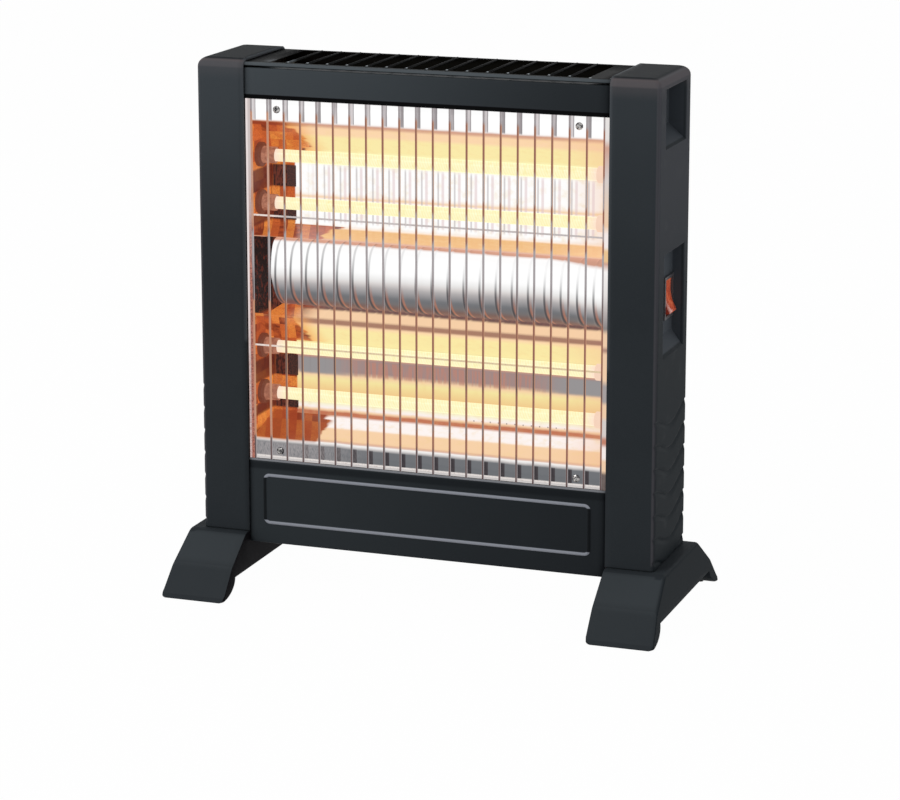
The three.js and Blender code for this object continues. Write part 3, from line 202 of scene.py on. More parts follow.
def rounded_line(corners):
    """A line through (y, z, radius) corners, each an arc of its radius, about 1.2 mm a step."""
    points = []
    corners = [np.array(c, float) for c in corners]
    for i, corner in enumerate(corners):
        here, radius = corner[:2], corner[2]
        if i in (0, len(corners) - 1) or radius == 0:
            points.append(here[None])
            continue
        before = corners[i - 1][:2] - here
        after = corners[i + 1][:2] - here
        before, after = before / np.hypot(*before), after / np.hypot(*after)
        half = math.acos(float(np.clip(before @ after, -1, 1))) / 2
        back = radius / math.tan(half)
        share = np.linspace(0, 1, max(4, int(radius * (math.pi - 2 * half) / 1.2)))[:, None]
        centre = here + (before + after) / np.hypot(*(before + after)) * radius / math.sin(half)
        start, end = here + before * back - centre, here + after * back - centre
        first, last = math.atan2(start[1], start[0]), math.atan2(end[1], end[0])
        turn = (last - first + math.pi) % (2 * math.pi) - math.pi
        angle = first + turn * share
        points.append(centre + radius * np.concatenate([np.cos(angle), np.sin(angle)], 1))
    return np.concatenate(points)


# ---------------------------------------------------------------- shader maths


def rgb(red, green, blue):
    """A colour written as it shows on screen, 0 to 255, as the linear colour that Blender takes."""
    shown = np.array([red, green, blue]) / 255
    linear = np.where(shown <= 0.04045, shown / 12.92, ((shown + 0.055) / 1.055) ** 2.4)
    return (*linear.tolist(), 1.0)


class Value:
    """A node's output; an expression on values adds the Math nodes that work it out."""

    def __init__(self, shader, socket):
        self.shader, self.socket = shader, socket

    def _math(self, operation, first, second=0):
        return self.shader.node("Math", {0: first, 1: second}, operation=operation)

    def __add__(self, other):
        return self._math("ADD", self, other)

    def __sub__(self, other):
        return self._math("SUBTRACT", self, other)

    def __rsub__(self, other):
        return self._math("SUBTRACT", other, self)

    def __neg__(self):
        return self._math("MULTIPLY", self, -1)

    def __mul__(self, other):
        return self._math("MULTIPLY", self, other)

    def __truediv__(self, other):
        return self._math("DIVIDE", self, other)

    def __pow__(self, other):
        return self._math("POWER", self, other)

    __radd__, __rmul__ = __add__, __mul__

    def wave(self):
        return self._math("SINE", self)

    def size(self):
        return self._math("ABSOLUTE", self)

    def most(self, other):
        return self._math("MAXIMUM", self, other)

    def fraction(self):
        return self._math("FRACT", self)

    def between(self, start, end):
        """0 below start, 1 above end, and a smooth rise between them."""
        return self.shader.node("MapRange", {0: self, 1: start, 2: end, 3: 0.0, 4: 1.0},
                                interpolation_type="SMOOTHSTEP")

    def until(self, start, end):
        """1 below start, 0 above end, and a smooth fall between them."""
        return 1 - self.between(start, end)

    def within(self, start, full, fall, end):
        """A band: it rises from start to full and falls from fall to end."""
        return self.between(start, full) * self.until(fall, end)

    def near(self, place, core, edge):
        """1 as close to a place as core, 0 farther from it than edge."""
        return (self - place).size().until(core, edge)


class Shader:
    """The nodes of one material, or of a world."""

    def __init__(self, name, owners=bpy.data.materials):
        self.owner = owners.new(name)
        self.owner.use_nodes = True
        self.tree = self.owner.node_tree
        self.tree.nodes.clear()

    def node(self, kind, inputs=None, output=0, stops=None, **settings):
        """Adds a node: its settings and ramp stops first, then its sockets' values or links."""
        made = self.tree.nodes.new("ShaderNode" + kind)
        for key, value in settings.items():
            setattr(made, key, value)
        if stops:
            ramp = made.color_ramp
            ramp.elements.remove(ramp.elements[1])
            ramp.elements[0].position, ramp.elements[0].color = stops[0]
            for position, colour in stops[1:]:
                ramp.elements.new(position).color = colour
        for key, value in (inputs or {}).items():
            if isinstance(value, Value):
                self.tree.links.new(value.socket, made.inputs[key])
            else:
                made.inputs[key].default_value = value
        return Value(self, made.outputs[output]) if made.outputs else None

    def parts(self, vector):
        """A vector's three numbers."""
        return [self.node("SeparateXYZ", {0: vector}, output=i) for i in range(3)]

    def place(self):
        """Object coordinates as a vector in metres, and their three numbers in millimetres."""
        where = self.node("TexCoord", output="Object")
        return where, [part * 1000 for part in self.parts(where)]

    def noise(self, where, scale, detail=2.0, stretch=None):
        """Smooth noise from 0 to 1, so many waves to the metre; stretch scales its directions."""
        if stretch:
            where = self.node("VectorMath", {0: where, 1: stretch}, operation="MULTIPLY")
        return self.node("TexNoise", {"Vector": where, "Scale": scale, "Detail": detail,
                                      "Roughness": 0.55})

    def cells(self, where, size):
        """One random number for each box of a grid, its size in mm."""
        corner = self.node("VectorMath", {0: where, 1: mm(*size)}, operation="SNAP")
        return self.node("TexWhiteNoise", {"Vector": corner})

    def ramp(self, value, stops):
        return self.node("ValToRGB", {0: value}, stops=stops)

    def mix(self, factor, first, second):
        """Two colours mixed by a factor."""
        return self.node("Mix", {0: factor, 6: first, 7: second}, output=2, data_type="RGBA")

    def layers(self, tint, *coats):
        """A tint under coats of paint, each one a pair of how much of it there is and its tint."""
        for amount, coat in coats:
            tint = self.mix(amount, tint, coat)
        return tint

    def finish(self, tint, rough, bump=None, glow=None, strength=1.0, **sockets):
        """The Principled shader as the surface; bump is (height, strength, depth in mm)."""
        inputs = {key.replace("_", " "): value for key, value in sockets.items()}
        inputs |= {"Base Color": tint, "Roughness": rough}
        if bump:
            height, amount, depth = bump
            inputs["Normal"] = self.node("Bump", {"Height": height, "Strength": amount,
                                                  "Distance": mm(depth)})
        if glow:
            inputs |= {"Emission Color": glow, "Emission Strength": strength}
        surface = self.node("BsdfPrincipled", inputs)
        self.node("OutputMaterial", {"Surface": surface})
        return self.owner


# ---------------------------------------------------------------- reflector's profile

BULGE_RADIUS, BULGE_Y, BULGE_Z = 33.0, -8.25, 311.8
BULGE_LEFT, BULGE_RIGHT = -165.7, 178.0
BULGE_UPPER_FULLNESS, BULGE_LOWER_FULLNESS = 0.45, 0.75
BULGE_TURN = np.concatenate([[0, 1, 2, 3.5, 5.5, 8, 11], np.linspace(15, 165, 34),
                             [169, 173, 176, 178, 180]])
RIB_PITCH, RIB_START, RIB_DEPTH, RIB_HALF_WIDTH = 16.05, 4.3, 0.8, 2.4
REFLECTOR_WALL = 0.6
FLANGE_TOP, FLANGE_LOW = (FLANGE_FRONT, SHEET_HEAD), (FLANGE_FRONT, 462.3)
UPPER_BACK_TOP, UPPER_BACK_LOW = (TROUGH_BACK, 425.3), (TROUGH_BACK, 353.3)
UPPER_LIP, LOWER_LIP = (-43.25, 350.3), (-43.25, 273.3)
LOWER_BACK_TOP, LOWER_BACK_LOW = (TROUGH_BACK, 236.3), (TROUGH_BACK, 164.3)
SILL_TOP, SILL_LOW = (FLANGE_FRONT, 149.3), (FLANGE_FRONT, SHEET_FOOT)
WINDOW_CUTS = (14, 35, 58, 68)
END_WINDOW_LEFT, END_WINDOW_RIGHT, END_WINDOW_OUTER = 154.4, 160.4, 178.4
WINDOW_BANDS = [(top - high, top - low) for top in (UPPER_BACK_TOP[1], LOWER_BACK_TOP[1])
                for low, high in (WINDOW_CUTS[:2], WINDOW_CUTS[2:])]


def back_wall_cuts(top):
    """Profile points on a back wall at the edges of its end windows."""
    return [(TROUGH_BACK, top - cut, 0) for cut in WINDOW_CUTS]


UPPER_CORNERS = [(*FLANGE_TOP, 0), (*FLANGE_LOW, 2), (*UPPER_BACK_TOP, 4),
                 *back_wall_cuts(UPPER_BACK_TOP[1]), (*UPPER_BACK_LOW, 4), (*UPPER_LIP, 0)]
LOWER_CORNERS = [(*LOWER_LIP, 0), (*LOWER_BACK_TOP, 4), *back_wall_cuts(LOWER_BACK_TOP[1]),
                 (*LOWER_BACK_LOW, 4), (*SILL_TOP, 2), (*SILL_LOW, 0)]


def reflector_profile():
    """The sheet's line from its upper flange down, and each point's distance along it.

    The bulge is a full-fronted barrel: its reach is a power of the sine of the turn from its top.
    """
    upper, lower = rounded_line(UPPER_CORNERS), rounded_line(LOWER_CORNERS)
    power = np.where(BULGE_TURN < 90, BULGE_UPPER_FULLNESS, BULGE_LOWER_FULLNESS)
    reach = np.clip(np.sin(np.radians(BULGE_TURN)), 0, 1) ** power
    arc = np.stack([BULGE_Y - BULGE_RADIUS * reach,
                    BULGE_Z + BULGE_RADIUS * np.cos(np.radians(BULGE_TURN))], 1)
    line = np.concatenate([upper, arc, lower])
    length = np.concatenate([[0], np.cumsum(np.hypot(*np.diff(line, axis=0).T))])
    return line, length, len(upper), len(arc)


PROFILE, ALONG, UPPER_COUNT, ARC_COUNT = reflector_profile()
TOTAL = ALONG[-1]
BULGE_START = ALONG[UPPER_COUNT] / TOTAL
BULGE_END = ALONG[UPPER_COUNT + ARC_COUNT - 1] / TOTAL


def at(y, z):
    """How far down the profile, 0 to 1, its point nearest to (y, z) lies."""
    point, start, step = np.array([y, z]), PROFILE[:-1], np.diff(PROFILE, axis=0)
    share = np.clip(((point - start) * step).sum(1) / (step ** 2).sum(1), 0, 1)
    away = np.hypot(*(start + step * share[:, None] - point).T)
    best = int(np.argmin(away))
    return float(ALONG[best] + share[best] * (ALONG[best + 1] - ALONG[best])) / float(TOTAL)


def on_wall(*heights):
    """How far down the profile points of the back walls lie."""
    return [at(TROUGH_BACK, height) for height in heights]


def run(start, end, *tints):
    """Ramp stops along a straight stretch of the profile: (share of the way, tint) pairs."""
    first, last = np.array(start), np.array(end)
    return [(at(*(first + (last - first) * share)), tint) for share, tint in tints]


def bulge_run(*tints):
    """Ramp stops round the bulge: (degrees from its top, tint) pairs."""
    along = ALONG[UPPER_COUNT:UPPER_COUNT + ARC_COUNT] / TOTAL
    return [(float(np.interp(turn, BULGE_TURN, along)), tint) for turn, tint in tints]


def upright_stops(*tints):
    """Ramp stops up the window: (height, tint) pairs, its foot at 0 and its head at 1."""
    return [((height - WINDOW_BOTTOM) / (WINDOW_TOP - WINDOW_BOTTOM), tint)
            for height, tint in tints]


# Tints of painted light: the tubes' glow on the reflector and its reflections in the guard; CHROME is the guard's
# own base.
BLACK, WHITE = rgb(0, 0, 0), rgb(255, 255, 255)
IVORY, CREAM, BLUSH = rgb(247, 240, 184), rgb(245, 229, 162), rgb(252, 244, 242)
HONEY, AMBER, PEACH = rgb(226, 170, 98), rgb(240, 198, 136), rgb(246, 208, 168)
ROSE, MAUVE = rgb(206, 154, 132), rgb(160, 134, 130)
FROST, PEARL, ASH, SHADED_GREY = (rgb(234, 233, 232), rgb(214, 209, 207), rgb(178, 174, 174),
                            rgb(150, 148, 150))
STEEL, SLATE, SHADE = rgb(106, 109, 113), rgb(110, 108, 110), rgb(40, 34, 36)
DUSK, UMBER, RED_GLOW = rgb(112, 84, 80), rgb(150, 100, 86), rgb(192, 112, 80)
WIRE_GREY, WIRE_BROWN, WIRE_DARK = rgb(158, 152, 154), rgb(138, 86, 68), rgb(84, 62, 60)
WIRE_DULL, WIRE_PALE = rgb(118, 106, 108), rgb(150, 144, 146)
CHROME = rgb(60, 56, 56)

UPPER_BANDS = [
    *run(FLANGE_TOP, FLANGE_LOW, (0, PEARL), (0.1, WHITE), (0.92, WHITE), (1.0, ROSE)),
    *run(FLANGE_LOW, UPPER_BACK_TOP, (0.06, ROSE), (0.14, PEACH), (0.33, PEACH), (0.46, CREAM),
         (0.86, CREAM), (0.96, IVORY)),
    *run(UPPER_BACK_TOP, UPPER_BACK_LOW, (0.1, IVORY), (0.18, WHITE), (0.56, WHITE),
         (0.6, PEACH), (0.64, WHITE), (0.98, WHITE)),
    *run(UPPER_BACK_LOW, UPPER_LIP, (0.2, HONEY), (0.85, HONEY), (0.97, ROSE)),
]
BULGE_BANDS = bulge_run(
    (0, ROSE), (13, ROSE), (19, WHITE), (74, WHITE), (86, FROST), (92, PEARL), (99, ASH),
    (107, SHADED_GREY), (118, STEEL), (130, SLATE), (142, DUSK), (180, DUSK))
LOWER_BANDS = [
    (BULGE_END + 0.002, DUSK),
    *run((BULGE_Y, BULGE_Z - BULGE_RADIUS), LOWER_LIP, (0.28, DUSK), (0.42, PEACH), (0.95, PEACH)),
    *run(LOWER_LIP, LOWER_BACK_TOP, (0.05, UMBER), (0.19, UMBER), (0.27, PEACH), (0.42, CREAM),
         (0.95, CREAM)),
    *run(LOWER_BACK_TOP, LOWER_BACK_LOW, (0.12, IVORY), (0.18, ROSE), (0.21, MAUVE), (0.39, MAUVE),
         (0.44, PEACH), (0.5, CREAM), (0.68, AMBER), (0.82, IVORY), (0.90, BLUSH), (0.935, PEACH),
         (0.95, RED_GLOW), (0.99, RED_GLOW)),
    *run(LOWER_BACK_LOW, SILL_TOP, (0.03, RED_GLOW), (0.08, BLUSH), (0.42, BLUSH), (0.48, PEACH),
         (0.84, PEACH), (0.92, ROSE), (0.96, WHITE)),
    *run(SILL_TOP, SILL_LOW, (0.05, PEARL), (0.10, STEEL), (0.84, STEEL), (0.90, PEARL)),
]
TROUGH_MASK = [
    (0.0, BLACK), (at(*FLANGE_LOW) - 0.001, BLACK), (at(*FLANGE_LOW) + 0.003, WHITE),
    (at(*UPPER_LIP) - 0.003, WHITE), (at(*UPPER_LIP), BLACK), (at(*LOWER_LIP) - 0.001, BLACK),
    (at(*LOWER_LIP) + 0.004, WHITE), (at(*SILL_TOP) - 0.006, WHITE), (at(*SILL_TOP), BLACK),
]
# Painted reflections up the guard's wires.
WIRE_TINTS = upright_stops(
    (131, WIRE_DARK), (153, WIRE_DARK), (157, WIRE_BROWN), (170, WIRE_BROWN), (174, WIRE_DULL),
    (182, WIRE_DULL), (187, WIRE_BROWN), (214, WIRE_BROWN), (220, WIRE_DARK), (237, WIRE_DARK),
    (242, WIRE_BROWN), (286, WIRE_BROWN), (292, rgb(96, 72, 68)), (308, rgb(104, 92, 92)),
    (326, WIRE_GREY), (354, WIRE_GREY), (358, WIRE_BROWN), (366, WIRE_BROWN), (370, WIRE_GREY),
    (382, WIRE_GREY), (386, WIRE_BROWN), (396, WIRE_BROWN), (400, WIRE_GREY), (424, WIRE_GREY),
    (430, WIRE_BROWN), (470, WIRE_BROWN), (475, WIRE_PALE), (484, WIRE_PALE))
# Painted reflections up the right side bar.
BAR_TINTS = upright_stops(
    (SILL_TOP[1] - 4, SHADE), (SILL_TOP[1], PEACH), (LOWER_BACK_LOW[1] - 6, PEACH),
    (LOWER_BACK_LOW[1] - 3, BLUSH), (LOWER_BACK_LOW[1] + 7, BLUSH), (LOWER_BACK_LOW[1] + 11, RED_GLOW),
    (LOWER_BACK_LOW[1] + 15, RED_GLOW), (TUBE_HEIGHTS[3] - 7, PEARL), (TUBE_HEIGHTS[3] + 7, PEARL),
    (TUBE_HEIGHTS[3] + 11, PEACH), (TUBE_HEIGHTS[3] + 22, PEACH), (TUBE_HEIGHTS[3] + 26, SHADED_GREY),
    (TUBE_HEIGHTS[2] - 6, SHADED_GREY), (TUBE_HEIGHTS[2], PEACH), (LOWER_LIP[1] - 12, PEACH),
    (LOWER_LIP[1] - 8, UMBER), (LOWER_LIP[1] - 4, PEACH), (LOWER_LIP[1] + 7, PEACH),
    (BULGE_Z - 26, STEEL), (BULGE_Z - 10, ASH), (BULGE_Z + 6, FROST), (BULGE_Z + 28, WHITE),
    (UPPER_LIP[1] - 3, ROSE), (UPPER_LIP[1], AMBER), (UPPER_BACK_LOW[1] + 6, AMBER),
    (UPPER_BACK_LOW[1] + 10, BLUSH), (TUBE_HEIGHTS[1] - 4, BLUSH), (TUBE_HEIGHTS[1] + 4, PEACH),
    (TUBE_HEIGHTS[0], PEARL), (FLANGE_LOW[1] - 6, ROSE), (FLANGE_LOW[1] + 2, FROST))
# Tints of the painted reflections of the tubes in the polished ends.
MIRRORED_TUBE_TINTS = [
    (0.0, rgb(104, 42, 28)), (0.2, rgb(140, 56, 34)), (0.24, rgb(182, 80, 46)),
    (0.5, rgb(214, 108, 52)), (0.55, rgb(230, 132, 60)), (0.84, rgb(236, 148, 70)),
    (0.88, rgb(160, 68, 40)), (1.0, rgb(206, 104, 52)),
]
RAMP_LIMIT = 32
for stops in (UPPER_BANDS, BULGE_BANDS, LOWER_BANDS, TROUGH_MASK, WIRE_TINTS, BAR_TINTS):
    places = [position for position, tint in stops]
    assert places == sorted(places) and len(places) <= RAMP_LIMIT, places


# ---------------------------------------------------------------- plastics and enamels

DULL_GLOSS = 0.03
PEEL_BUMP = (0.18, 0.06)


def moulded_plastic():
    """Charcoal moulded plastic: fine spark-erosion grain, faint flow clouds, painted edge highlights.

    Painted light and shade: each face of the posts and feet is lighter or darker by where it faces.
    """
    shader = Shader("charcoal_moulded_plastic")
    where, (x, y, z) = shader.place()
    grain = shader.noise(where, 1500)
    clouds = shader.noise(where, 14, 3.0)
    rubbed = shader.noise(where, 60, 4.0).between(0.55, 0.75)
    sideways, backwards, upwards = shader.parts(shader.node("TexCoord", output="Normal"))
    forwards = -backwards
    shoulder_highlight = z.between(POST_TOP - 9.5, POST_TOP - 7.3) * 0.6
    shoulder_highlight = (shoulder_highlight + z.between(500, 514) * 0.4) * z.until(POST_TOP - 2.3, POST_TOP - 0.3)
    corner = x.size().between(POST_OUTER - 3.8, POST_OUTER - 2.4) \
        * (-y).between(POST_HALF_DEPTH - 3.9, POST_HALF_DEPTH - 2.3) * z.between(60, 64)
    front = forwards.between(0.5, 0.9) * z.between(300, 520) * (1 - x.between(-200, 200) * 0.5)
    slope = forwards.between(0.45, 0.65) * upwards.between(0.3, 0.6) \
        * z.until(FOOT_HEIGHT, FOOT_HEIGHT + 4)
    slope = slope * (0.18 + z.between(26, 36) * 0.38)
    side = sideways.size().between(0.6, 0.9) * x.size().between(220, 229)
    inward = (-(sideways * x)).between(60, 120) * z.until(FOOT_HEIGHT - 2, FOOT_HEIGHT + 2)
    level = upwards.between(0.75, 0.95) * z.between(POST_TOP - 1.8, POST_TOP - 0.1)
    lit_recess = x.size().until(POST_OUTER - 3.4, POST_OUTER - 1.8) * z.between(245, 250)
    walls = y.within(RECESS_FRONT - 3, RECESS_FRONT - 0.5, RECESS_REAR + 0.5, RECESS_REAR + 2.5) \
        * z.until(GRIP_TOP + 0.5, GRIP_TOP + 1.9)
    # Painted light and shade: highlights on the top shoulders and the front corner, lit fronts and foot slopes,
    # sides dark low down and lit higher up, dark inner sides of the feet, darker tops, lit recess floors and
    # walls.
    tint = shader.layers(
        rgb(41, 45, 48),
        (clouds, rgb(49, 53, 56)),
        (grain.between(0.35, 0.75) * 0.3, rgb(56, 58, 61)),
        (shoulder_highlight * 0.7, rgb(108, 98, 98)),
        (corner * 0.5, rgb(92, 88, 92)),
        (front * 0.55, rgb(74, 79, 83)),
        (slope, rgb(78, 83, 86)),
        (side * z.until(60, 400) * 0.6, rgb(18, 25, 29)),
        (side * z.between(260, 440) * 0.3, rgb(96, 96, 102)),
        (inward * 0.9, rgb(14, 11, 14)),
        (level * 0.75, rgb(22, 24, 26)),
        (lit_recess * sideways.size().between(0.3, 0.9) * 0.7, rgb(92, 96, 100)),
        (lit_recess * walls * 0.45, rgb(78, 82, 88)))
    return shader.finish(tint, 0.55 + grain * 0.12 + rubbed * -0.06, (grain, 0.35, 0.05),
                         Specular_IOR_Level=DULL_GLOSS)


def enamel_shader(name):
    """The enamel's tint, roughness and orange peel, before what one sheet adds to it."""
    shader = Shader(name)
    where, place = shader.place()
    x, _, z = place
    peel = shader.noise(where, 420)
    clouds = shader.noise(where, 6)
    dust = shader.noise(where, 900).between(0.66, 0.74)
    shade_rightwards, high = x.between(-200, 200), z.between(300, 480)
    # Painted light and shade: lighter high up at the left, darker to the right and low down; the dust is the
    # enamel's own.
    tint = shader.layers(
        rgb(60, 65, 68),
        (clouds * 0.3 + shade_rightwards * 0.7, rgb(36, 39, 42)),
        (dust * 0.15, rgb(84, 87, 90)),
        (high * 0.32 * (1 - shade_rightwards), rgb(88, 93, 97)),
        ((1 - high) * (1 - x.between(0, 200) * 0.4) * 0.35, rgb(24, 27, 30)))
    return shader, tint, 0.38 + peel * 0.08 + dust * 0.15, (peel, *PEEL_BUMP), where, place


def stove_enamel():
    """Charcoal enamel on sheet steel: semi-gloss with a faint orange peel."""
    shader, tint, rough, peel, _, _ = enamel_shader("charcoal_stove_enamel")
    return shader.finish(tint, rough, peel, Specular_IOR_Level=DULL_GLOSS)


def hemmed_enamel():
    """The front sheets' enamel: painted shade along the hem over the window, painted highlights on lip and bead.
    """
    shader, tint, rough, peel, _, (_, y, z) = enamel_shader("hemmed_stove_enamel")
    half = (RIM_HIGH - RIM_LOW) / 2
    hem = z.near(WINDOW_TOP + 2.3, 1.6, 2.6)
    rim = (-y).between(-BODY_FRONT + 0.25, -BODY_FRONT + 0.6)
    bead = (z - (RIM_LOW + RIM_HIGH) / 2).size().between(half - 5, half - 4)
    # Painted shade on the hem, on the bead's upright sides and in the band under the lip; painted highlights on
    # the lip and on the bead's top and bottom.
    tint = shader.layers(
        tint,
        (hem, rgb(10, 10, 11)),
        (rim * (1 - bead) * 0.8, rgb(16, 18, 20)),
        (z.near(WINDOW_BOTTOM - 0.6, 1.0, 1.8) * 0.85, rgb(140, 140, 144)),
        (rim * bead, rgb(150, 152, 160)),
        (z.near(WINDOW_BOTTOM - 6.5, 2, 5) * 0.6, rgb(22, 25, 28)))
    return shader.finish(tint, rough + hem * 0.3, peel, Specular_IOR_Level=DULL_GLOSS)


def shaded_grille_paint():
    """The top grille's enamel: its top in painted shade, almost black, its lip plain, painted glints at rib tips.
    """
    shader, _, rough, peel, _, (x, y, z) = enamel_shader("grille_enamel_in_painted_shade")
    # Painted shade: the top behind the lip almost black and a dark groove under the lip; a painted highlight on
    # the deck at the left and painted glints at the rib tips.
    deck_shade = (y - BODY_FRONT).between(1, 4)
    lip = shader.mix((z - (BODY_TOP - GRILLE_LIP)).until(0.4, 1.2), rgb(84, 89, 92), rgb(22, 24, 26))
    deck_highlight = x.near(-149, 2, 22) * y.near(-34, 2, 14)
    off_rib = 0.5 - ((x / SLOT_PITCH).fraction() - 0.5).size()
    rib_tip_glint = off_rib.until(0.03, 0.07) * y.near(1 - SLOT_HALF_LENGTH, 1, 3)
    shaded_deck = shader.layers(rgb(13, 14, 15), (deck_highlight * 0.8, rgb(120, 124, 127)),
                           (rib_tip_glint * x.between(-150, -140), rgb(176, 180, 182)))
    return shader.finish(shader.mix(deck_shade, lip, shaded_deck), rough + deck_shade * 0.15, peel,
                         Specular_IOR_Level=0.02)


def back_cover_enamel():
    """The back cover's enamel; its inner face, seen through the end windows, has a faint red painted glow of the
    tubes' light.
    """
    shader, tint, rough, peel, where, (x, y, _) = enamel_shader("back_cover_enamel")
    inner = y.until(BODY_BACK - 0.7, BODY_BACK - 0.4) * x.size().between(140, 150)
    hatch = shader.noise(where, 800).between(0.4, 0.6)
    glow = shader.mix(inner, BLACK, shader.mix(hatch, rgb(42, 30, 30), rgb(84, 50, 44)))
    return shader.finish(tint, rough, peel, glow, Specular_IOR_Level=DULL_GLOSS)


def grained(name, scale, detail, dark, light, rough, spread, dent):
    """A plain finish with one grain, which turns it from dark to light, roughens and dents it."""
    shader = Shader(name)
    grain = shader.noise(shader.place()[0], scale, detail)
    return shader.finish(shader.mix(grain, dark, light), rough + grain * spread, (grain, *dent))


def sleeving(name, light, dark):
    """Woven sleeving on a lead: crossed fine threads."""
    shader = Shader(name)
    weave = shader.node("TexWave", {"Vector": shader.place()[0], "Scale": 900.0, "Distortion": 1.0},
                        wave_type="BANDS", bands_direction="DIAGONAL")
    weave = shader.node("SeparateColor", {0: weave})
    return shader.finish(shader.mix(weave, dark, light), 0.6 + weave * 0.15, (weave, 0.3, 0.08))


def lit_rocker():
    """Translucent red rocker, lit from inside: brighter in the middle, darker at its sides, with painted highlight
    stripes.
    """
    shader = Shader("translucent_red_rocker")
    where, (_, y, _) = shader.place()
    streak_highlight = shader.noise(where, 330, stretch=(1.0, 3.0, 0.3)).between(0.42, 0.60)
    tint = shader.mix(streak_highlight, rgb(150, 48, 28), rgb(206, 104, 70))
    lit = shader.mix(streak_highlight, rgb(160, 50, 24), rgb(206, 104, 70))
    glow = shader.mix(y.near(PIVOT[1], 3, 12), rgb(72, 14, 6), lit)
    return shader.finish(tint, 0.12 + streak_highlight * 0.1, None, glow, 0.55, Coat_Weight=0.4)


# ---------------------------------------------------------------- metals, quartz and ceramic


def galvanised_steel():
    """Zinc-coated sheet: soft spangles and a brushed grain."""
    shader = Shader("galvanised_steel")
    where, _ = shader.place()
    spangle = shader.node("TexVoronoi", {"Vector": where, "Scale": 160.0}, output="Color")
    spangle = shader.node("SeparateColor", {0: spangle})
    grain = shader.noise(where, 300, 3.0, stretch=(1.0, 1.0, 8.0))
    tint = shader.mix(spangle * 0.6 + grain * 0.3, rgb(146, 149, 152), rgb(196, 198, 200))
    return shader.finish(tint, 0.3 + spangle * 0.2, (grain, 0.15, 0.04), Metallic=1.0)


def zinc_screw():
    """Zinc-plated screw steel with fine turning marks."""
    shader = Shader("zinc_plated_screw")
    where, _ = shader.place()
    grain = shader.noise(where, 2500)
    blotch = shader.noise(where, 420).between(0.42, 0.58)
    tint = shader.mix(blotch, rgb(70, 68, 70), rgb(196, 194, 192))
    return shader.finish(tint, 0.26 + grain * 0.2, (grain, 0.2, 0.03), Metallic=1.0)


def mirrored_tube_patches(shader, where, z):
    """Ragged oblong patches of orange and red-brown: painted reflections of the tubes in the polished ends.

    The patches are cells of a skewed grid, each with a tint of its own, under a fine sooty grain;
    level with the end windows they are in painted shade.
    """
    x_far, y_far, z_far = shader.parts(where)
    skewed = shader.node("CombineXYZ", {0: x_far + y_far * 0.36, 1: 0.0, 2: z_far})
    soot = shader.noise(where, 700, 3.0).between(0.35, 0.65)
    cloud = shader.noise(where, 90, 3.0).between(0.40, 0.66)
    level = sum(z.within(low - 2, low + 1, high - 1, high + 2) for low, high in WINDOW_BANDS)
    return shader.layers(
        shader.ramp(shader.cells(skewed, (8.0, 40.0, 10.0)), MIRRORED_TUBE_TINTS),
        (cloud * 0.6, rgb(212, 104, 50)), (soot * 0.35, rgb(112, 46, 30)),
        (level * 0.85, rgb(88, 34, 26)))


def glowing_plate():
    """Zinc-coated end plate with the tubes' orange light painted on, in painted shade by the bulge and the back
    wall.
    """
    shader = Shader("end_plate_steel")
    where, (x, y, z) = shader.place()
    grain = shader.noise(where, 240, 3.0)
    seen = x.size().until(PLATE_INNER + 0.1, PLATE_INNER + 0.4) * z.within(150, 158, 455, 462)
    # Painted shade: darker level with the bulge and by the back wall.
    dark = shader.mix(grain.between(0.5, 0.7), rgb(30, 22, 22), rgb(96, 42, 32))
    rear_shade = shader.mix(grain.between(0.4, 0.6), rgb(50, 28, 26), rgb(104, 50, 38))
    glow = shader.layers(mirrored_tube_patches(shader, where, z), (z.within(262, 272, 346, 352), dark),
                         (y.between(8, 11), rear_shade))
    return shader.finish(rgb(58, 54, 52), 0.38 + grain * 0.1, None,
                         shader.mix(seen, BLACK, glow), Metallic=0.8)


def chrome_wire():
    """Drawn chrome wire: painted reflections of what it passes; its sides paler than its core, as painted
    highlights.
    """
    shader = Shader("chrome_wire")
    where, (x, _, z) = shader.place()
    grain = shader.noise(where, 900)
    right = x.between(110, 176)
    trough = z.within(356, 362, 470, 474) + z.within(150, 156, 286, 290)
    side = ((x / WIRE_PITCH).fraction() - 0.5).size().between(0.030, 0.052)
    warm = shader.mix(right, rgb(196, 148, 116), rgb(214, 164, 136))
    # Painted reflections up the wire, pale at its left end over the troughs, with painted highlights on its sides.
    glow = shader.layers(
        shader.ramp((z - WINDOW_BOTTOM) / (WINDOW_TOP - WINDOW_BOTTOM), WIRE_TINTS),
        (x.until(-160, -140) * trough * 0.7, rgb(206, 150, 122)),
        (side * 0.75, shader.mix(trough, rgb(176, 172, 174), warm)),
        (grain.between(0.5, 0.9) * 0.4, rgb(96, 66, 58)))
    return shader.finish(CHROME, 0.28 + grain * 0.12, None, glow, 0.95, Metallic=1.0)


def chrome_rod():
    """The thin cross rods: painted reflections, bright at their left ends, pale grey against the white walls."""
    shader = Shader("chrome_cross_rod")
    where, (x, _, z) = shader.place()
    grain = shader.noise(where, 700)
    glow = shader.layers(
        rgb(226, 204, 164),
        (z.between(300, 320), rgb(196, 190, 190)),
        (x.until(-158, -140), rgb(240, 226, 218)),
        (z.until(136, 140), rgb(232, 226, 222)),
        (grain.between(0.45, 0.8) * 0.5, rgb(150, 120, 108)))
    return shader.finish(CHROME, 0.24 + grain * 0.12, None, glow, 0.9, Metallic=1.0)


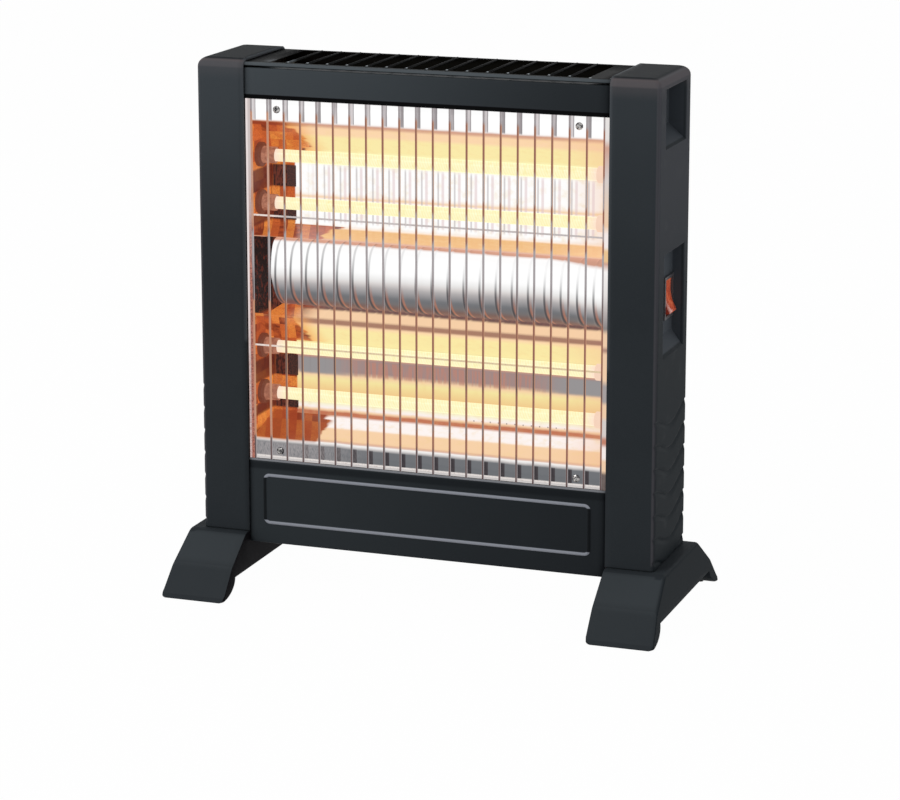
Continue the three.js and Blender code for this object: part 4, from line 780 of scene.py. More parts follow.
def chrome_bar():
    """The guard's flat side bars: pale with the tubes' painted light, painted reddish reflections on their inner
    sides.
    """
    shader = Shader("chrome_bar")
    where, (x, _, z) = shader.place()
    grain = shader.noise(where, 500, 3.0, stretch=(1.0, 1.0, 0.2))
    hatch = shader.noise(where, 900).between(0.4, 0.6)
    # Painted reflections of the reddish glow on the bars' inner sides.
    rust = shader.mix(hatch, rgb(120, 56, 44), rgb(190, 116, 96))
    mirror = shader.mix(z.between(300, 440), rust, rgb(206, 194, 192))
    pale = shader.layers(rgb(250, 242, 242), (grain, rgb(232, 216, 212)),
                         (z.until(170, 330) * (0.45 + hatch * 0.4), rgb(170, 124, 116)))
    left_glow = shader.mix((x.size() - FRAME_BAR_X).between(-0.6, 0.8), mirror, pale)
    right_glow = shader.ramp((z - WINDOW_BOTTOM) / (WINDOW_TOP - WINDOW_BOTTOM), BAR_TINTS)
    right_glow = shader.mix(grain * 0.25, right_glow, rgb(232, 206, 194))
    glow = shader.mix(x.until(-100, 100), right_glow, left_glow)
    return shader.finish(CHROME, 0.28 + grain * 0.12, None, glow, 0.9, Metallic=1.0)


def trough_glow(shader, where, down, place, mottle):
    """The troughs' painted glow: a run of tints down the profile, with ragged painted reflections towards the left
    end.
    """
    x, y, z = place
    right, left = x.between(110, 176), x.until(-150, -112)
    wavy = down + (shader.noise(where, 30) - 0.5) * 0.003
    upper = shader.ramp(wavy, UPPER_BANDS)
    bulge = shader.ramp(wavy - right * 0.012, BULGE_BANDS)
    lower = shader.ramp(wavy, LOWER_BANDS)
    trough = shader.mix(down.between(BULGE_END - 0.001, BULGE_END + 0.001), upper, lower)
    hot = shader.ramp(down, TROUGH_MASK)
    lit = shader.node("SeparateColor", {0: trough}).between(0.35, 0.8) * hot
    sloped = hot * y.until(TROUGH_BACK - 2.5, TROUGH_BACK - 1)
    ragged = shader.cells(where, (600.0, 600.0, 13.0)) * 12
    edge = -146 + ragged + (shader.noise(where, 45) - 0.5) * 22
    upper_floor = z.within(340, 345, 353.5, 355)
    floor = upper_floor + z.until(164.5, 166)
    ends = (edge + floor * 20 + upper_floor * 14 - x).between(-2, 3)
    dim = floor * (0.30 + z.until(164.5, 169) * 0.35)
    patches = shader.mix(dim, mirrored_tube_patches(shader, where, z), rgb(146, 62, 38))
    lip = at(*LOWER_LIP)
    ledge = down.within(BULGE_END, BULGE_END + 0.002, lip, lip + 0.004)
    bend_shade = x.until(-168, -112) * down.near(at(*FLANGE_LOW) + 0.006, 0.003, 0.009)
    # Painted light: warmer at the right, mottled, orange on the left slopes; painted reflections in patches at the
    # left end and on the ledge; painted shade on the floors and along the bend under the flange.
    trough = shader.layers(
        trough,
        (right * 0.5 * lit, rgb(240, 188, 146)),
        (mottle.between(0.45, 0.75) * 0.3 * lit, rgb(240, 206, 142)),
        (left * sloped, rgb(240, 160, 80)),
        ((ends * sloped).most(x.until(-156, -154.5) * hot), patches),
        (ledge * x.until(-150, -110), patches),
        (bend_shade, rgb(142, 58, 36)))
    return trough, bulge


def polished_reflector():
    """Polished ribbed sheet with the tubes' light painted on; v runs down its profile from 0 to 1.

    Each stretch of the profile has its own run of painted tints. Over them lie the ribs' painted shadows on
    the bulge, the wires' painted reflections on the flanges, and painted reflections of the tubes by the left end.
    """
    shader = Shader("polished_reflector_sheet")
    where, place = shader.place()
    x = place[0]
    down = shader.node("SeparateXYZ", {0: shader.node("UVMap", uv_map="along")}, output=1)
    grain = shader.noise(where, 240, 3.0, stretch=(8.0, 1.0, 1.0))
    mottle = shader.noise(where, 130, 4.0)
    trough, bulge = trough_glow(shader, where, down, place, mottle)

    share = (down - BULGE_START) / (BULGE_END - BULGE_START)
    hook = share.between(0.5, 1.0) ** 2 * 5
    rib = ((x - hook - RIB_START) / RIB_PITCH + 0.5).fraction() - 0.5
    trail = rib.near(0.12, 0.03, 0.11) * share.between(0.50, 0.72)
    line = rib.size().until(0.035, 0.10) * (1 - share.until(0.30, 0.60) * x.between(-150, 30) * 0.85)
    # The ribs' painted shadows on the bulge: dark lines, with pink-brown trails low down.
    bulge = shader.layers(
        bulge,
        (line * (0.45 + share.between(0.2, 0.6) * 0.45), rgb(70, 70, 74)),
        (trail * 0.8, shader.mix(mottle, rgb(190, 130, 104), rgb(150, 92, 76))))
    on_bulge = down.within(BULGE_START - 0.0005, BULGE_START + 0.0005, BULGE_END - 0.002, BULGE_END)

    wires = ((x - 1.4) / WIRE_PITCH).fraction() - 0.5
    flange = down.until(at(*FLANGE_LOW) - 0.004, at(*FLANGE_LOW))
    patchy = shader.noise(where, 60, stretch=(1.0, 0.2, 0.2)).between(0.4, 0.6)
    wall = down.within(*on_wall(416, 410, 360, 355)) * x.between(-148, -120)
    ripple = shader.noise(where, 330, stretch=(1.0, 0.1, 0.1)).between(0.4, 0.6)
    dull = down.within(*on_wall(222, 219, 207, 203)) * x.between(-156, -150)
    cooler = x.until(-130, -80).most(x.between(80, 130))
    dots = (x / (WIRE_PITCH / 2)).fraction().near(0.5, 0.05, 0.09) * x.within(10, 30, 110, 130) \
        * down.near(*on_wall(170.5), 0.0008, 0.0016)
    sill = down.within(at(*SILL_TOP) + 0.003, at(*SILL_TOP) + 0.006,
                       at(FLANGE_FRONT, 134), at(FLANGE_FRONT, 131))
    # Painted reflections of the wires on the flanges, back wall and sill, and painted light and shade on the back
    # wall's low band and on the sill.
    glow = shader.layers(
        shader.mix(on_bulge, trough, bulge),
        (wires.size().until(0.07, 0.10) * flange,
         shader.mix(patchy, rgb(212, 206, 207), rgb(156, 150, 152))),
        (wires.near(0.085, 0.012, 0.035) * flange * 0.8, rgb(112, 106, 110)),
        (wires.near(0.26, 0.05, 0.11) * wall * 0.55, rgb(222, 194, 196)),
        (wires.near(-0.02, 0.03, 0.07) * wall * 0.6, rgb(176, 168, 170)),
        (dull * ripple * 0.6 * (1 - cooler), rgb(192, 128, 108)),
        (dull * cooler, rgb(148, 145, 146)),
        (dots * 0.7, rgb(96, 84, 88)),
        (wires.near(0.03, 0.10, 0.14) * sill * x.between(-140, -120), rgb(60, 56, 60)),
        (sill * x.until(-140, -40) * 0.5 * grain.between(0.3, 0.6), rgb(190, 182, 182)))
    return shader.finish(rgb(44, 42, 42), 0.26 + grain * 0.1, None, glow, 0.98, Metallic=1.0)


def glowing_quartz():
    """Quartz tube: a pale yellow glow, curled by the winding in it, pinker at its ends."""
    shader = Shader("glowing_quartz")
    where, (x, y, z) = shader.place()
    ripple = shader.noise(where, 120, stretch=(4.0, 0.3, 0.3))
    curl = (x * 2.34 + z * 0.9 + y * 0.5).wave().between(0.2, 1.0)
    glow = shader.layers(
        rgb(255, 251, 214), (ripple, rgb(253, 246, 186)), (curl * 0.35, rgb(250, 226, 150)),
        (shader.noise(where, 190, 3.0).between(0.5, 0.7) * 0.4, rgb(246, 230, 158)),
        (x.size().between(146, 166), rgb(252, 224, 206)))
    return shader.finish(rgb(60, 56, 48), 0.2 + ripple * 0.05, None, glow, 0.97,
                         Specular_IOR_Level=0.2)


def glowing_filament():
    """Resistance wire at an orange heat."""
    shader = Shader("glowing_filament")
    ripple = shader.noise(shader.place()[0], 200)
    glow = shader.mix(ripple, rgb(255, 196, 92), rgb(255, 232, 150))
    return shader.finish(rgb(250, 190, 110), 0.5 + ripple * 0.1, None, glow, Metallic=0.6)


def ceramic():
    """Unglazed steatite caps: necks lit pink by the tubes, flanges in shade, spigots white."""
    shader = Shader("steatite_ceramic")
    where, (x, _, _) = shader.place()
    speckle = shader.noise(where, 800, 3.0).between(0.4, 0.7)
    cloud = shader.noise(where, 160).between(0.4, 0.6)
    inside = x.size().until(PLATE_INNER - 0.5, PLATE_INNER + 0.3)
    # Painted light from the tubes on the parts within the end plates: pink necks, flanges in painted shade, the
    # right caps painted brighter still.
    glow = shader.layers(
        rgb(104, 50, 34), (x.size().until(174.6, 175.4), rgb(186, 122, 96)),
        (speckle * 0.4, rgb(132, 76, 60)), (cloud * 0.5, rgb(118, 62, 46)),
        (x.between(-10, 10), rgb(250, 216, 192)))
    tint = shader.layers(rgb(206, 196, 188), (speckle, rgb(176, 164, 156)), (inside, rgb(60, 44, 38)))
    return shader.finish(tint, 0.62 + speckle * 0.15, (speckle, 0.2, 0.05),
                         shader.mix(inside, BLACK, glow), 0.9)


MATERIALS = {
    "plastic": moulded_plastic(),
    "enamel": stove_enamel(),
    "galvanised": galvanised_steel(),
    "screw_steel": zinc_screw(),
    "polished_reflector": polished_reflector(),
    "chrome_wire": chrome_wire(),
    "quartz": glowing_quartz(),
    "filament": glowing_filament(),
    "ceramic": ceramic(),
    "switch_plastic": grained("black_switch_plastic", 1100, 2.0, rgb(62, 60, 62), rgb(92, 88, 90),
                              0.28, 0.15, (0.15, 0.03)),
    "rocker_red": lit_rocker(),
    "pad_rubber": grained("black_rubber", 700, 4.0, rgb(24, 24, 25), rgb(44, 43, 43),
                          0.75, 0.15, (0.4, 0.1)),
    "lead_brown": sleeving("brown_sleeving", rgb(116, 70, 46), rgb(84, 46, 30)),
    "lead_blue": sleeving("blue_sleeving", rgb(58, 88, 146), rgb(36, 60, 108)),
    "lead_black": sleeving("black_sheath", rgb(40, 40, 42), rgb(26, 26, 28)),
}
for row in frame["record"]["subparts"]:
    node = frame["nodes"][row["node"]]
    node.material_slots[0].material = MATERIALS[row["material_slot"]]
end_steel = glowing_plate()
for side in ("right", "left"):
    frame["nodes"][side + "_end_plate"].material_slots[0].material = end_steel
frame["nodes"]["back_cover"].material_slots[0].material = back_cover_enamel()


# ---------------------------------------------------------------- posts

MOUTH_RADIUS, WALL_STEP = 1.6, 0.25
WAVE_TOP, WAVE_PITCH, WAVE_ROWS, WAVE_DIP = 200.0, 22.6, 7, 12.0
WAVE_DEPTH, WAVE_REAR_DEPTH, WAVE_UPPER_SIDE, WAVE_LOWER_SIDE = 1.3, 1.5, 1.8, 5.5
QUARTER = np.pi / 2


def wall_drop(inside, depth):
    """How deep a recess is, so far inside its rim: a rounded mouth, a steep wall, a rounded foot."""
    mouth = MOUTH_RADIUS
    s = np.clip(inside, 0, None)
    lip = mouth - np.sqrt(np.clip(mouth ** 2 - np.minimum(s, mouth) ** 2, 0, None))
    t = np.clip(s - mouth - WALL_STEP, 0, mouth)
    foot = depth - mouth + np.sqrt(np.clip(mouth ** 2 - (mouth - t) ** 2, 0, None))
    return np.where(s < mouth + WALL_STEP, lip, foot)


def recess_drop(y, z, bottom, top, depth):
    """A recess with three steep walls and a sloped lower lip: the least of its sides' drops."""
    y, z = np.broadcast_arrays(y, z)
    slope = depth * np.clip((z - bottom) / LIP_SLOPE, 0, 1)
    return np.minimum.reduce([wall_drop(y - RECESS_FRONT, depth), wall_drop(RECESS_REAR - y, depth),
                              wall_drop(top - z, depth), slope])


def wave_drop(y, z):
    """Wavy grooves across the side: each dips in its middle and is deepest near the rear edge.

    A groove's upper side is steep and its lower side long and hollow, and it fades out at the rear.
    """
    share = (y + POST_HALF_DEPTH) / (2 * POST_HALF_DEPTH)
    dip = WAVE_DIP * np.sin(np.pi * share) ** 2
    phase = (WAVE_TOP - dip - z) / WAVE_PITCH
    nearest = np.clip(np.round(phase), 0, WAVE_ROWS - 1)
    off = (phase - nearest) * WAVE_PITCH
    above = np.clip(1 + off / WAVE_UPPER_SIDE, 0, 1)
    below = np.clip(1 - off / WAVE_LOWER_SIDE, 0, 1) ** 1.5
    rear = WAVE_REAR_DEPTH * np.clip((share - 0.8) / 0.12, 0, 1)
    fade = 2.5 * np.clip((share - 0.94) / 0.04, 0, 1)
    return (WAVE_DEPTH + rear - fade) * np.where(off < 0, above, below)


def rim_lines(edge, inward):
    """Grid lines that follow a recess's rounded rim, going inwards from its edge."""
    r, turn = MOUTH_RADIUS, np.linspace(0, QUARTER, 5)
    return edge + inward * np.concatenate([r * np.sin(turn), r + WALL_STEP + r * (1 - np.cos(turn))])


def post_ring(height, inset, side_y, switch):
    """The section at one height: front face, rounded corner, outer side, corner and back face.

    On the outer side each point moves inwards by the recess and wave depths; the inset draws the
    whole section in where the top rounds over.
    """
    r, half = POST_EDGE_RADIUS, POST_HALF_DEPTH
    y = side_y * (half - r - inset) / (half - r)
    deep = np.zeros(len(y))
    if inset == 0:
        deep = recess_drop(y, height, GRIP_BOTTOM, GRIP_TOP, GRIP_DEPTH)
        if switch:
            deep = np.maximum(deep, recess_drop(y, height, SWITCH_BOTTOM, SWITCH_TOP, SWITCH_DEPTH))
        deep = np.maximum(deep, wave_drop(y, np.full(len(y), height)))
    front_x = np.linspace(POST_INNER, POST_OUTER - r, 8)
    front_x = POST_INNER + (front_x - POST_INNER) * (1 - inset / (POST_OUTER - r - POST_INNER))
    centre_x, centre_y = POST_OUTER - inset - r, half - inset - r
    turn = np.linspace(0, QUARTER, 7)[1:-1]
    sine, cosine = np.sin(turn), np.cos(turn)
    ring = np.concatenate([
        np.stack([front_x, np.full(8, inset - half)], 1),
        np.stack([centre_x + r * sine - deep[0] * sine ** 2, -centre_y - r * cosine], 1),
        np.stack([POST_OUTER - inset - deep, y], 1),
        np.stack([centre_x + r * cosine - deep[-1] * cosine ** 2, centre_y + r * sine], 1),
        np.stack([front_x[::-1], np.full(8, half - inset)], 1)])
    return np.column_stack([ring, np.full(len(ring), height)])


def post_skin(switch):
    """The right post's skin: rings up its height, rounded over at the top and closed inwards."""
    rim_z = [rim_lines(GRIP_TOP, -1), [GRIP_BOTTOM, GRIP_BOTTOM + LIP_SLOPE]]
    if switch:
        rim_z += [rim_lines(SWITCH_TOP, -1), [SWITCH_BOTTOM, SWITCH_BOTTOM + LIP_SLOPE],
                  [PIVOT[2] - SWITCH_HOLE_HALF_HEIGHT, PIVOT[2] + SWITCH_HOLE_HALF_HEIGHT]]
    wave_z = np.arange(POST_BOTTOM, WAVE_TOP + 4, 1.2)
    rise = steps(POST_BOTTOM, POST_TOP - POST_TOP_RADIUS, 4.0, *rim_z, wave_z)
    turn = np.linspace(0, QUARTER, 9)[1:]
    heights = np.concatenate([rise, POST_TOP - POST_TOP_RADIUS * (1 - np.sin(turn))])
    insets = np.concatenate([0 * rise, POST_TOP_RADIUS * (1 - np.cos(turn))])
    reach = POST_HALF_DEPTH - POST_EDGE_RADIUS
    side_y = steps(-reach, reach, 2.2, rim_lines(RECESS_FRONT, 1), rim_lines(RECESS_REAR, -1),
                   [PIVOT[1] - SWITCH_HOLE_HALF_WIDTH, PIVOT[1] + SWITCH_HOLE_HALF_WIDTH])
    rows = [post_ring(height, inset, side_y, switch) for height, inset in zip(heights, insets)]
    rim = rows[-1]
    rim_y = np.linspace(rim[0, 1], rim[-1, 1], len(rim))
    inner = np.column_stack([np.full(len(rim), POST_INNER), rim_y, rim[:, 2]])
    rows += [rim * (1 - share) + inner * share for share in np.linspace(0, 1, 7)[1:]]
    points = np.stack(rows)
    faces = grid_faces(*points.shape[:2])
    points = points.reshape(-1, 3)
    if switch:
        middle = points[faces].mean(1)
        _, across, up = np.abs(middle - PIVOT).T
        hole = (across < SWITCH_HOLE_HALF_WIDTH) & (up < SWITCH_HOLE_HALF_HEIGHT)
        faces = faces[~(hole & (middle[:, 0] > (POST_INNER + POST_OUTER) / 2))]
    return points, faces


right_post = make_piece("right_post_moulding", post_skin(True), "plastic", "right_post")
left_post = make_piece("left_post_moulding", mirrored(post_skin(False)), "plastic", "left_post",
                       flip=True)
thicken(right_post, POST_WALL)
thicken(left_post, POST_WALL)


# ---------------------------------------------------------------- feet

TOE_LINE = [(-FOOT_HALF_LENGTH, 1, 0), (2 - FOOT_HALF_LENGTH, 5, 2), (-95, 30, 12),
            (-59, FOOT_HEIGHT, 9)]
FOOT_TOP_LINE = TOE_LINE + [(-y, z, radius) for y, z, radius in TOE_LINE[::-1]]
FOOT_ARCH, NOSE_LENGTH, NOSE_HEIGHT = 18.0, 30.0, 17.0
FOOT_PLAN_RADIUS, FOOT_EDGE_RADIUS, SOLE_EDGE_RADIUS = 4.5, 4.0, 1.0


def rounded_end(inward, radius):
    """How far a plan outline pulls in near its end, round a corner of a radius."""
    short = np.clip(radius - inward, 0, radius)
    return radius - np.sqrt(radius ** 2 - short ** 2)


def foot_shape():
    """The right foot: rings in planes across Y, between the sole's line and the sloped top's line.

    The sole's line arches between two toes, each a quarter of an ellipse. A ring goes up the inner
    side, over the top, round its rounded outer edge and down the outer side, which leans out; the
    plan's corners are rounded by pulling both sides in near the ends.
    """
    top, half = rounded_line(FOOT_TOP_LINE), FOOT_HALF_LENGTH
    turn = np.linspace(0, QUARTER, 16)
    nose = np.stack([NOSE_LENGTH * np.sin(turn) - half, FOOT_ARCH - NOSE_HEIGHT * np.cos(turn)], 1)
    sole = np.concatenate([nose, nose[::-1] * (-1, 1)])
    end = half - FOOT_PLAN_RADIUS * (1 - np.cos(np.linspace(0, QUARTER, 15)))
    y = steps(-half, half, 3.0, top[:, 0], sole[:, 0], -end, end)[:, None]
    high = np.interp(y, top[:, 0], top[:, 1])
    low = np.minimum(np.interp(y, sole[:, 0], sole[:, 1]), high - 0.5)
    pull = rounded_end(half - np.abs(y), FOOT_PLAN_RADIUS)
    tall = high - low
    soft = np.minimum(FOOT_EDGE_RADIUS, tall * 0.45)
    small = np.minimum(SOLE_EDGE_RADIUS, tall * 0.25)

    def outer(z):
        return FOOT_OUTER - (FOOT_OUTER - FOOT_TOP_OUTER) * z / FOOT_HEIGHT - pull

    inner, edge = FOOT_INNER + pull, outer(high - soft)
    corner = np.linspace(0, QUARTER, 8)[None]
    across, down = np.linspace(0, 1, 9)[None, 1:], np.linspace(0, 1, 8)[None, 1:]
    x = np.concatenate([
        inner + small, inner, inner, inner + small * 0.3, inner + small,
        inner + small + (edge - soft - inner - small) * across,
        edge - soft + soft * np.sin(corner), edge + (outer(low) - edge) * down,
        outer(low) - small * 0.3, outer(low) - small], 1)
    z = np.concatenate([
        low, low + small, high - small, high - small * 0.3, high,
        high + 0 * across, high - soft + soft * np.cos(corner),
        high - soft + (low + small - high + soft) * down, low + small * 0.3, low], 1)
    points = np.stack([x, np.broadcast_to(y, x.shape), z], -1)
    rows, count = x.shape
    ends = [list(range(count))[::-1], list(range((rows - 1) * count, rows * count))]
    return points.reshape(-1, 3), grid_faces(rows, count, wrap=True).tolist() + ends


right_foot = foot_shape()
make_piece("right_foot_moulding", right_foot, "plastic", "right_foot")
make_piece("left_foot_moulding", mirrored(right_foot), "plastic", "left_foot", flip=True)


# ---------------------------------------------------------------- reflector

WALL_RIB, FLANGE_RIB = 0.5, 0.35
BULGE_TAPER, BULGE_FRONT_DRAW, BULGE_FOOT_DRAW = 22.0, 5.0, 6.0


def reflector_shape():
    """The profile carried across X, pushed along its normal by the ribs' rounded humps.

    The bulge stops short of the sheet's ends, and its left end is drawn in round its front; the
    end windows are left open. The third result is each point's place on the sheet.
    """
    ribs = np.arange(-11, 12) * RIB_PITCH + RIB_START
    near = (ribs + np.linspace(-RIB_HALF_WIDTH, RIB_HALF_WIDTH, 7)[:, None]).ravel()
    x = steps(-REFLECTOR_HALF, REFLECTOR_HALF, 6.0, near,
              [BULGE_LEFT, BULGE_RIGHT, -END_WINDOW_OUTER, -END_WINDOW_LEFT, END_WINDOW_RIGHT,
               END_WINDOW_OUTER])
    tangent = np.gradient(PROFILE, axis=0)
    tangent /= np.hypot(*tangent.T)[:, None]
    off = np.abs((x - RIB_START + RIB_PITCH / 2) % RIB_PITCH - RIB_PITCH / 2)
    rib = 0.5 * (1 + np.cos(np.pi * np.clip(off / RIB_HALF_WIDTH, 0, 1)))
    index = np.arange(len(PROFILE))
    on_bulge = (index >= UPPER_COUNT) & (index < UPPER_COUNT + ARC_COUNT)
    strength = np.where(np.abs(PROFILE[:, 0] - TROUGH_BACK) < 0.2, WALL_RIB, on_bulge * 1.0)
    strength = np.where(np.abs(PROFILE[:, 0] - FLANGE_FRONT) < 0.1, FLANGE_RIB, strength)
    hump = RIB_DEPTH * strength[:, None] * rib[None]
    y = PROFILE[:, :1] + tangent[:, 1:] * hump
    z = PROFILE[:, 1:] - tangent[:, :1] * hump
    reach = np.clip((BULGE_Y - PROFILE[:, 0]) / BULGE_RADIUS, 0, 1) * on_bulge
    fall = np.clip((BULGE_Z - PROFILE[:, 1]) / BULGE_RADIUS, 0, 1) * on_bulge
    near_end = np.clip(1 - (x - BULGE_LEFT) / BULGE_TAPER, 0, 1) * (x >= BULGE_LEFT - 0.01)
    xs = x + (BULGE_FRONT_DRAW * reach + BULGE_FOOT_DRAW * fall)[:, None] * near_end
    points = np.stack([xs, y, z], -1).reshape(-1, 3)
    faces = grid_faces(*y.shape)
    middle = points[faces].mean(1)
    row = faces[:, 0] // len(x)
    in_arc = (row >= UPPER_COUNT - 1) & (row < UPPER_COUNT + ARC_COUNT)
    past_end = (np.take(x, faces % len(x)).mean(1) < BULGE_LEFT) | (middle[:, 0] > BULGE_RIGHT)
    inner = np.where(middle[:, 0] > 0, END_WINDOW_RIGHT, END_WINDOW_LEFT)
    across = (np.abs(middle[:, 0]) > inner) & (np.abs(middle[:, 0]) < END_WINDOW_OUTER)
    across &= np.abs(middle[:, 1] - TROUGH_BACK) < 2
    drop = in_arc & past_end
    for low, high in WINDOW_BANDS:
        drop |= across & (middle[:, 2] < high) & (middle[:, 2] > low)
    v = np.broadcast_to((ALONG / TOTAL)[:, None], y.shape)
    return points, faces[~drop], np.stack([(xs + 200) / 1000, v], -1)


*reflector_mesh, reflector_uv = reflector_shape()
reflector = make_piece("reflector_sheet", reflector_mesh, "polished_reflector", "reflector",
                       uv=reflector_uv, flip=True)
thicken(reflector, REFLECTOR_WALL)


# ---------------------------------------------------------------- guard

BAR_HALF_THICKNESS, BAR_SIDES, BAR_SQUARENESS = 1.1, 24, 0.3


def wire(radius, start, end, axis, sides=12):
    """A straight wire with rounded ends."""
    r = radius
    return turned([(0, start), (r * 0.7, start + r * 0.3), (r, start + r), (r, end - r),
                   (r * 0.7, end - r * 0.3), (0, end)], sides, axis)


def flat_bar(half_width, half_thickness, low, high):
    """An upright bar whose section is a superellipse: flat faces and softly rounded edges."""
    turn = np.linspace(0, 2 * np.pi, BAR_SIDES, endpoint=False)
    c, s = np.cos(turn), np.sin(turn)
    x = half_width * np.sign(c) * np.abs(c) ** BAR_SQUARENESS
    y = half_thickness * np.sign(s) * np.abs(s) ** BAR_SQUARENESS
    rings = [(0.0, low), (0.9, low), (1.0, low + 0.5), (1.0, high - 0.5), (0.9, high), (0.0, high)]
    points = [np.stack([x * share, y * share, z + 0 * x], 1) for share, z in rings]
    return np.concatenate(points), grid_faces(len(rings), BAR_SIDES, wrap=True)


guard_low, guard_high = WINDOW_BOTTOM - GUARD_OVERHANG, WINDOW_TOP + GUARD_OVERHANG
upright = wire(WIRE_RADIUS, guard_low, guard_high, "z")
crossing = wire(ROD_RADIUS, -FRAME_BAR_X, FRAME_BAR_X, "x")
side_bar = flat_bar(FRAME_BAR_WIDTH / 2, BAR_HALF_THICKNESS, guard_low, guard_high)
wire_places = (np.arange(WIRE_COUNT) - (WIRE_COUNT - 1) / 2) * WIRE_PITCH
make_piece("guard_wires", joined(*[moved(upright, x, WIRE_Y) for x in wire_places]),
           "chrome_wire", "wire_guard")
make_piece("guard_cross_rods", joined(*[moved(crossing, 0, ROD_Y, z) for z in CROSS_ROD_HEIGHTS]),
           "chrome_wire", "wire_guard", chrome_rod())
bar_pair = joined(moved(side_bar, -FRAME_BAR_X, WIRE_Y), moved(side_bar, FRAME_BAR_X, WIRE_Y))
make_piece("guard_side_bars", bar_pair, "chrome_wire", "wire_guard", chrome_bar())


# ---------------------------------------------------------------- tubes, coils and caps

COIL_HALF, COIL_RADIUS, COIL_WIRE_RADIUS = 174.0, 4.0, 0.45
COIL_TURNS, COIL_STEPS, COIL_SIDES = 130, 12, 5


def coil_shape():
    """A wire wound about the X axis: a small ring of sides carried along the helix."""
    count = COIL_TURNS * COIL_STEPS + 1
    t = np.linspace(0, 1, count)
    angle = 2 * np.pi * COIL_TURNS * t
    c, s = np.cos(angle), np.sin(angle)
    centre = np.stack([-COIL_HALF + 2 * COIL_HALF * t, COIL_RADIUS * c, COIL_RADIUS * s], 1)
    out = np.stack([0 * t, c, s], 1)
    along = np.array([1.0, 0, 0])
    ring = np.linspace(0, 2 * np.pi, COIL_SIDES, endpoint=False)[None, :, None]
    points = centre[:, None] + COIL_WIRE_RADIUS * (np.cos(ring) * out[:, None] + np.sin(ring) * along)
    ends = [list(range(COIL_SIDES))[::-1],
            list(range((count - 1) * COIL_SIDES, count * COIL_SIDES))]
    return points.reshape(-1, 3), grid_faces(count, COIL_SIDES, wrap=True).tolist() + ends


# from the bore's seat out over neck, flange and spigot, and back through the lead's hole
CAP_PROFILE = [(6.3, 178.4), (6.3, 162.4), (6.6, 162.0), (7.5, 162.0), (8.0, 162.5), (8.0, 174.5),
               (8.4, 175.2), (11.2, 175.6), (12.0, 176.4), (12.0, 180.0), (11.7, 180.4), (6.5, 180.4),
               (6.5, 188.2), (6.0, 188.7), (1.5, 188.7), (1.5, 178.4), (6.3, 178.4)]
TUBE_PROFILE = [(TUBE_BORE, -TUBE_END), (5.4, -TUBE_END - 0.2), (TUBE_RADIUS, -TUBE_END + 0.4),
                (TUBE_RADIUS, 0), (TUBE_RADIUS, TUBE_END - 0.4), (5.4, TUBE_END + 0.2),
                (TUBE_BORE, TUBE_END), (TUBE_BORE, 0), (TUBE_BORE, -TUBE_END)]
tube, coil, right_cap = turned(TUBE_PROFILE, 32), coil_shape(), turned(CAP_PROFILE, 36)
for number, height in enumerate(TUBE_HEIGHTS, 1):
    make_piece("quartz_tube_%d_glass" % number, moved(tube, 0, TUBE_Y, height), "quartz",
               "quartz_tube_%d" % number)
    make_piece("heating_coil_%d_winding" % number, moved(coil, 0, TUBE_Y, height), "filament",
               "heating_coil_%d" % number)
    for side, cap in (("right", right_cap), ("left", mirrored(right_cap))):
        make_piece("%s_cap_%d_ceramic" % (side, number), moved(cap, 0, TUBE_Y, height), "ceramic",
                   "%s_cap_%d" % (side, number), flip=side == "left")


# ---------------------------------------------------------------- front sheets and top grille

GROOVE, LIP_DEPTH, UPPER_RETURN = 1.6, 4.0, 12.0
LOWER_RETURN, HEM_RADIUS, HEM_BEND = 24.0, 1.2, 0.35
GRILLE_EDGE_RADIUS, GRILLE_HEM, GRILLE_HEM_RADIUS = 2.2, 1.4, 0.8
RIB_BAR_RADIUS, RIB_BAR_OVERLAP, RIB_BAR_SINK = 1.45, 2.5, 0.55


def panel_shape():
    """The lower sheet over (x, z), raised towards the front in a rounded rim round its middle.

    The rim's height is half a sine wave of how far a point lies inside a rounded rectangle, and
    the sheet's lowest row bends back under the body.
    """
    near_rim = np.linspace(RIM_X - 10, RIM_X + 2, 25)
    x = steps(-BODY_HALF, BODY_HALF, 8.0, -near_rim, near_rim)
    z = steps(BODY_BOTTOM, WINDOW_BOTTOM, 4.0, np.linspace(RIM_LOW - 2, RIM_LOW + 10, 25),
              np.linspace(RIM_HIGH - 10, RIM_HIGH + 2, 25))
    xs, zs = np.meshgrid(x, z)
    middle, half = (RIM_LOW + RIM_HIGH) / 2, (RIM_HIGH - RIM_LOW) / 2
    dx = np.abs(xs) - (RIM_X - RIM_RADIUS)
    dz = np.abs(zs - middle) - (half - RIM_RADIUS)
    inside = RIM_RADIUS - np.hypot(np.clip(dx, 0, None), np.clip(dz, 0, None))
    inside -= np.minimum(np.maximum(dx, dz), 0)
    proud = RIM_PROUD * np.sin(np.pi * np.clip(inside / RIM_WIDTH, 0, 1))
    points = np.stack([xs, BODY_FRONT - proud, zs], -1)
    hem = points[:1] + [[(0, LOWER_RETURN, 0)], [(0, HEM_RADIUS, 0)], [(0, HEM_BEND, HEM_BEND)]]
    points[0] += (0, 0, HEM_RADIUS)
    points = np.concatenate([hem, points])
    return points.reshape(-1, 3), grid_faces(*points.shape[:2])


